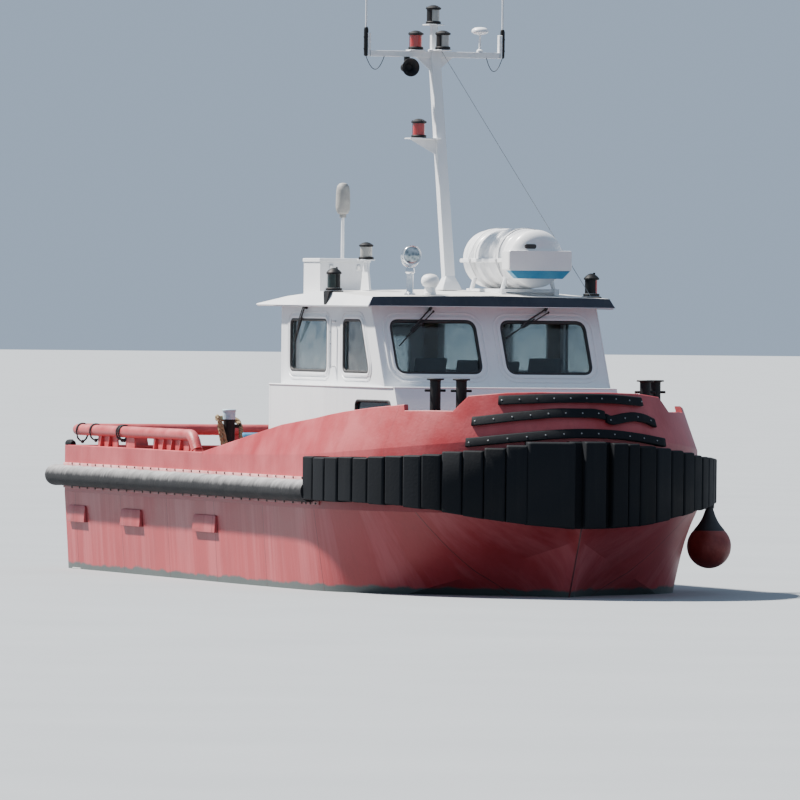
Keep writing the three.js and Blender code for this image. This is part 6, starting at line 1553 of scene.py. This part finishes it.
def smooth(points, per=8):
    """A curve through every given point: between two of them a cubic whose slope at each is half the step between its
    neighbours."""
    p = np.asarray(points, float)
    p = np.concatenate([2 * p[:1] - p[1:2], p, 2 * p[-1:] - p[-2:-1]])
    t = np.linspace(0, 1, per, endpoint=False)[None, :, None]
    a, b, c, d = (p[k:len(p) - 3 + k, None] for k in range(4))
    curve = 0.5 * (2 * b + (c - a) * t + (2 * a - 5 * b + 4 * c - d) * t ** 2 + (3 * b - a - 3 * c + d) * t ** 3)
    return np.concatenate([curve.reshape(-1, 3), p[-2:-1]])


def rope_fibre(name, fineness, dark, bright, relief, distance, roughness, worn=None):
    """Rope: slanting bands from a dark to a bright tone, which stand up a little. worn is the tone of stray hairs."""
    made, tree, shader, place = bare_material(name)
    wave = put(tree, "ShaderNodeTexWave", {"Vector": place, "Scale": fineness, "Distortion": 2.0, "Detail": 2.0},
               wave_type="BANDS", bands_direction="DIAGONAL").outputs[0]
    colour, height = mix(tree, wave, (*dark, 1), (*bright, 1)), wave
    if worn:
        hair = noise(tree, place, 120.0, 4.0)
        colour, height = mix(tree, hair, colour, (*worn, 1)), reckon(tree, "ADD", wave, hair)
    bump = put(tree, "ShaderNodeBump", {"Height": height, "Strength": relief, "Distance": distance}).outputs[0]
    feed(shader, {"Base Color": colour, "Normal": bump, "Roughness": roughness})
    return made


rope_brown = rope_fibre("rope_brown", 14.0, (0.13, 0.085, 0.035), (0.4, 0.29, 0.15), 0.7, 0.006, 0.85,
    (0.3, 0.23, 0.14))


def laid_rope(name, path, diameter, material, slot):
    """Three-strand rope: the section is a circle with three lobes that turns once round in seven diameters."""
    path = np.asarray(path, float)
    step = np.concatenate([[0], np.cumsum(np.linalg.norm(np.diff(path, axis=0), axis=1))])
    count = int(step[-1] / (diameter * 0.35)) + 2
    even = np.stack([np.interp(np.linspace(0, step[-1], count), step, path[:, k]) for k in range(3)], -1)
    line = np.gradient(even, axis=0)
    line /= np.linalg.norm(line, axis=1)[:, None]
    u = np.cross(line, np.array([0.31, 0.17, 1.0]))
    u /= np.linalg.norm(u, axis=1)[:, None]
    v = np.cross(u, line)
    angle = np.linspace(0, 2 * np.pi, 18, endpoint=False)[None, :, None]
    twist = (np.linspace(0, step[-1], count) / (diameter * 7) * 2 * np.pi)[:, None, None]
    reach = diameter / 2 * (0.9 + 0.1 * np.cos(3 * (angle + twist)))
    skin = ends(even[:, None] + reach * (np.cos(angle) * u[:, None] + np.sin(angle) * v[:, None]))
    made = build(name, [skin], material, slot=slot, sharp=70)
    length_of(path)


bx, by = -0.65, float(aft(BITT_AFT))
hawser = []
for shift in (0.0, 0.044):
    z = DECK + 0.045 + shift * 0.5
    leg_up = [(bx + 0.02 - shift, by - 0.15 - shift * 0.3, z + 0.02),
        (bx - 0.02 - shift, by - 0.125 - shift * 0.3, z + 0.25), (bx - 0.075 - shift, by - 0.105, 1.4),
        (bx - 0.125 - shift * 0.5, by - 0.075, 1.6 + shift), (bx - 0.135, by + 0.015, 1.635 + shift * 0.5),
        (bx - 0.075, by + 0.1, 1.63 + shift * 0.5), (bx + 0.03, by + 0.115, 1.625 + shift * 0.5),
        (bx + 0.115, by + 0.045, 1.6 + shift * 0.5)]
    leg_down = [(bx + 0.115 + shift * 0.3, by - 0.045, 1.5),
        (bx + 0.085 + shift * 0.5, by - 0.105 - shift * 0.2, 1.3), (bx + 0.07 + shift * 0.6, by - 0.12, z + 0.22)]
    hawser.append(smooth(leg_up + leg_down + [(bx + 0.08 + shift, by - 0.15 - shift, z + 0.01)], 7))
base_turns = np.linspace(0, 2 * np.pi * 2.4, 60)
coil = np.stack([bx + 0.02 + (0.2 + 0.004 * base_turns) * np.cos(base_turns - 1.2),
    by - 0.02 + (0.17 + 0.004 * base_turns) * np.sin(base_turns - 1.2), DECK + 0.045 + 0.0035 * base_turns], -1)
laid_rope("hawser_bight", hawser[0], 0.042, rope_brown, "gear_grey")
laid_rope("hawser_return", hawser[1], 0.042, rope_brown, "gear_grey")
laid_rope("hawser_coil", coil, 0.042, rope_brown, "gear_grey")
drum_blue = weathered_paint("drum_blue", (0.035, 0.22, 0.42), (0.16, 0.42, 0.58), (0.2, 0.22, 0.22), gloss=0.35,
    scale=6, streaks=0.2, bump=0.15)
shell = [(0, 0), (0.155, 0), (0.168, 0.012), (0.17, 0.03), (0.166, 0.1), (0.166, 0.22), (0.17, 0.235), (0.17, 0.255),
    (0.166, 0.27), (0.166, 0.44), (0.17, 0.455), (0.17, 0.475), (0.166, 0.49), (0.164, 0.6), (0.156, 0.635),
    (0.16, 0.645), (0.164, 0.66), (0.164, 0.68), (0.158, 0.69), (0.15, 0.678), (0, 0.672)]
DRUM_X, DRUM_AFT = -1.05, 6.65
bung = turned([(0.03, 0.67), (0.03, 0.684), (0, 0.686)], (DRUM_X + 0.09, aft(DRUM_AFT), DECK + GAP), sides=16)
build("blue_drum", [turned(shell, (DRUM_X, aft(DRUM_AFT), DECK + GAP), sides=48), bung],
      drum_blue, slot="drum_blue", stands_for="deck_drum", sharp=32)

# Chocks and hoops. Black rubber-faced chocks lie over the bulwark's two after corners, and thin rope hoops are
# tied round the tow rail to hang fenders from.
chocks = []
for side in (1, -1):
    runs = np.concatenate([np.linspace(RUN_SIDE - 1.4, RUN_SIDE, 5), np.linspace(RUN_SIDE, RUN_CORNER, 12)[1:],
        np.linspace(RUN_CORNER, RUN_CORNER + 1.4, 5)[1:]])
    out_x, out_y = edge_at(runs, -0.045)[:2]
    path = np.stack([side * out_x, out_y, np.full(len(runs), BULWARK_TOP + 0.012)], -1)
    chocks.append(swept(path, np.concatenate([[0.03, 0.04], np.full(len(runs) - 4, 0.045), [0.04, 0.03]]), 20))
build("corner_chocks", chocks, rubber_black, slot="fender_black", sharp=50)
rope_black = rope_fibre("rope_black", 40.0, (0.008, 0.009, 0.012), (0.035, 0.038, 0.045), 0.6, 0.002, 0.8)
for number, (side, far, drop) in enumerate(((-1, 9.95, 0.055), (-1, 9.5, 0.035), (-1, 8.62, 0.02), (-1, 8.55, 0.02),
        (1, 9.6, 0.05), (1, 8.6, 0.03))):
    t = np.linspace(0, 2 * np.pi * 1.9, 56)
    lower = np.clip(-np.sin(t), 0, 1) * drop
    hoop = np.stack([side * TUBE_X + (TUBE_RADIUS + 0.009) * np.cos(t) * side, aft(far) + 0.018 * t / (2 * np.pi),
        TUBE_Z + (TUBE_RADIUS + 0.009) * np.sin(t) - lower], -1)
    laid_rope(f"rail_hoop_{number}", hoop, 0.016, rope_black, "gear_black")
    knot = turned([(0, -0.022), (0.013, -0.018), (0.02, -0.004), (0.018, 0.01), (0.008, 0.02), (0, 0.022)],
        (side * TUBE_X, float(aft(far)) + 0.012, TUBE_Z - TUBE_RADIUS - 0.012 - drop), (0.3, 1, 0.2), 14)
    build(f"hoop_knot_{number}", [knot], rope_black, slot="gear_black", sharp=60)

# Ball fender. A hard inflated ball, dark red and grimy, with a black moulded neck that is lashed up under the port
# bow's rubber.
BALL, BALL_RADIUS = np.array([2.205, float(aft(2.12)), 0.461]), 0.225
ball_red = weathered_paint("ball_red", (0.2, 0.022, 0.018), (0.3, 0.05, 0.04), (0.055, 0.02, 0.012), gloss=0.35,
    scale=9, streaks=0.25, bump=0.25)
angle = np.linspace(0, math.radians(136), 34)
skin = np.stack([BALL_RADIUS * np.sin(angle), -BALL_RADIUS * np.cos(angle)], -1)
build("ball_fender_skin", [turned(skin, BALL, sides=56)], ball_red, slot="ball_orange", stands_for="ball_fender",
    sharp=60)
shoulder = [(0.1615, 0.155), (0.148, 0.176), (0.118, 0.212), (0.092, 0.25), (0.068, 0.296), (0.05, 0.345),
    (0.041, 0.372), (0.038, 0.39), (0.038, 0.43), (0.048, 0.442), (0.058, 0.448), (0.058, 0.4575), (0, 0.4578)]
build("ball_fender_neck", [turned(shoulder, BALL, sides=48)], gasket_black, slot="fender_black", sharp=40)
t = np.linspace(0, 2 * np.pi * 3, 60)
lashing = BALL + np.stack([0.046 * np.cos(t), 0.046 * np.sin(t), 0.386 + 0.013 * t / (2 * np.pi)], -1)
laid_rope("ball_fender_lashing", lashing, 0.012, rope_black, "gear_black")
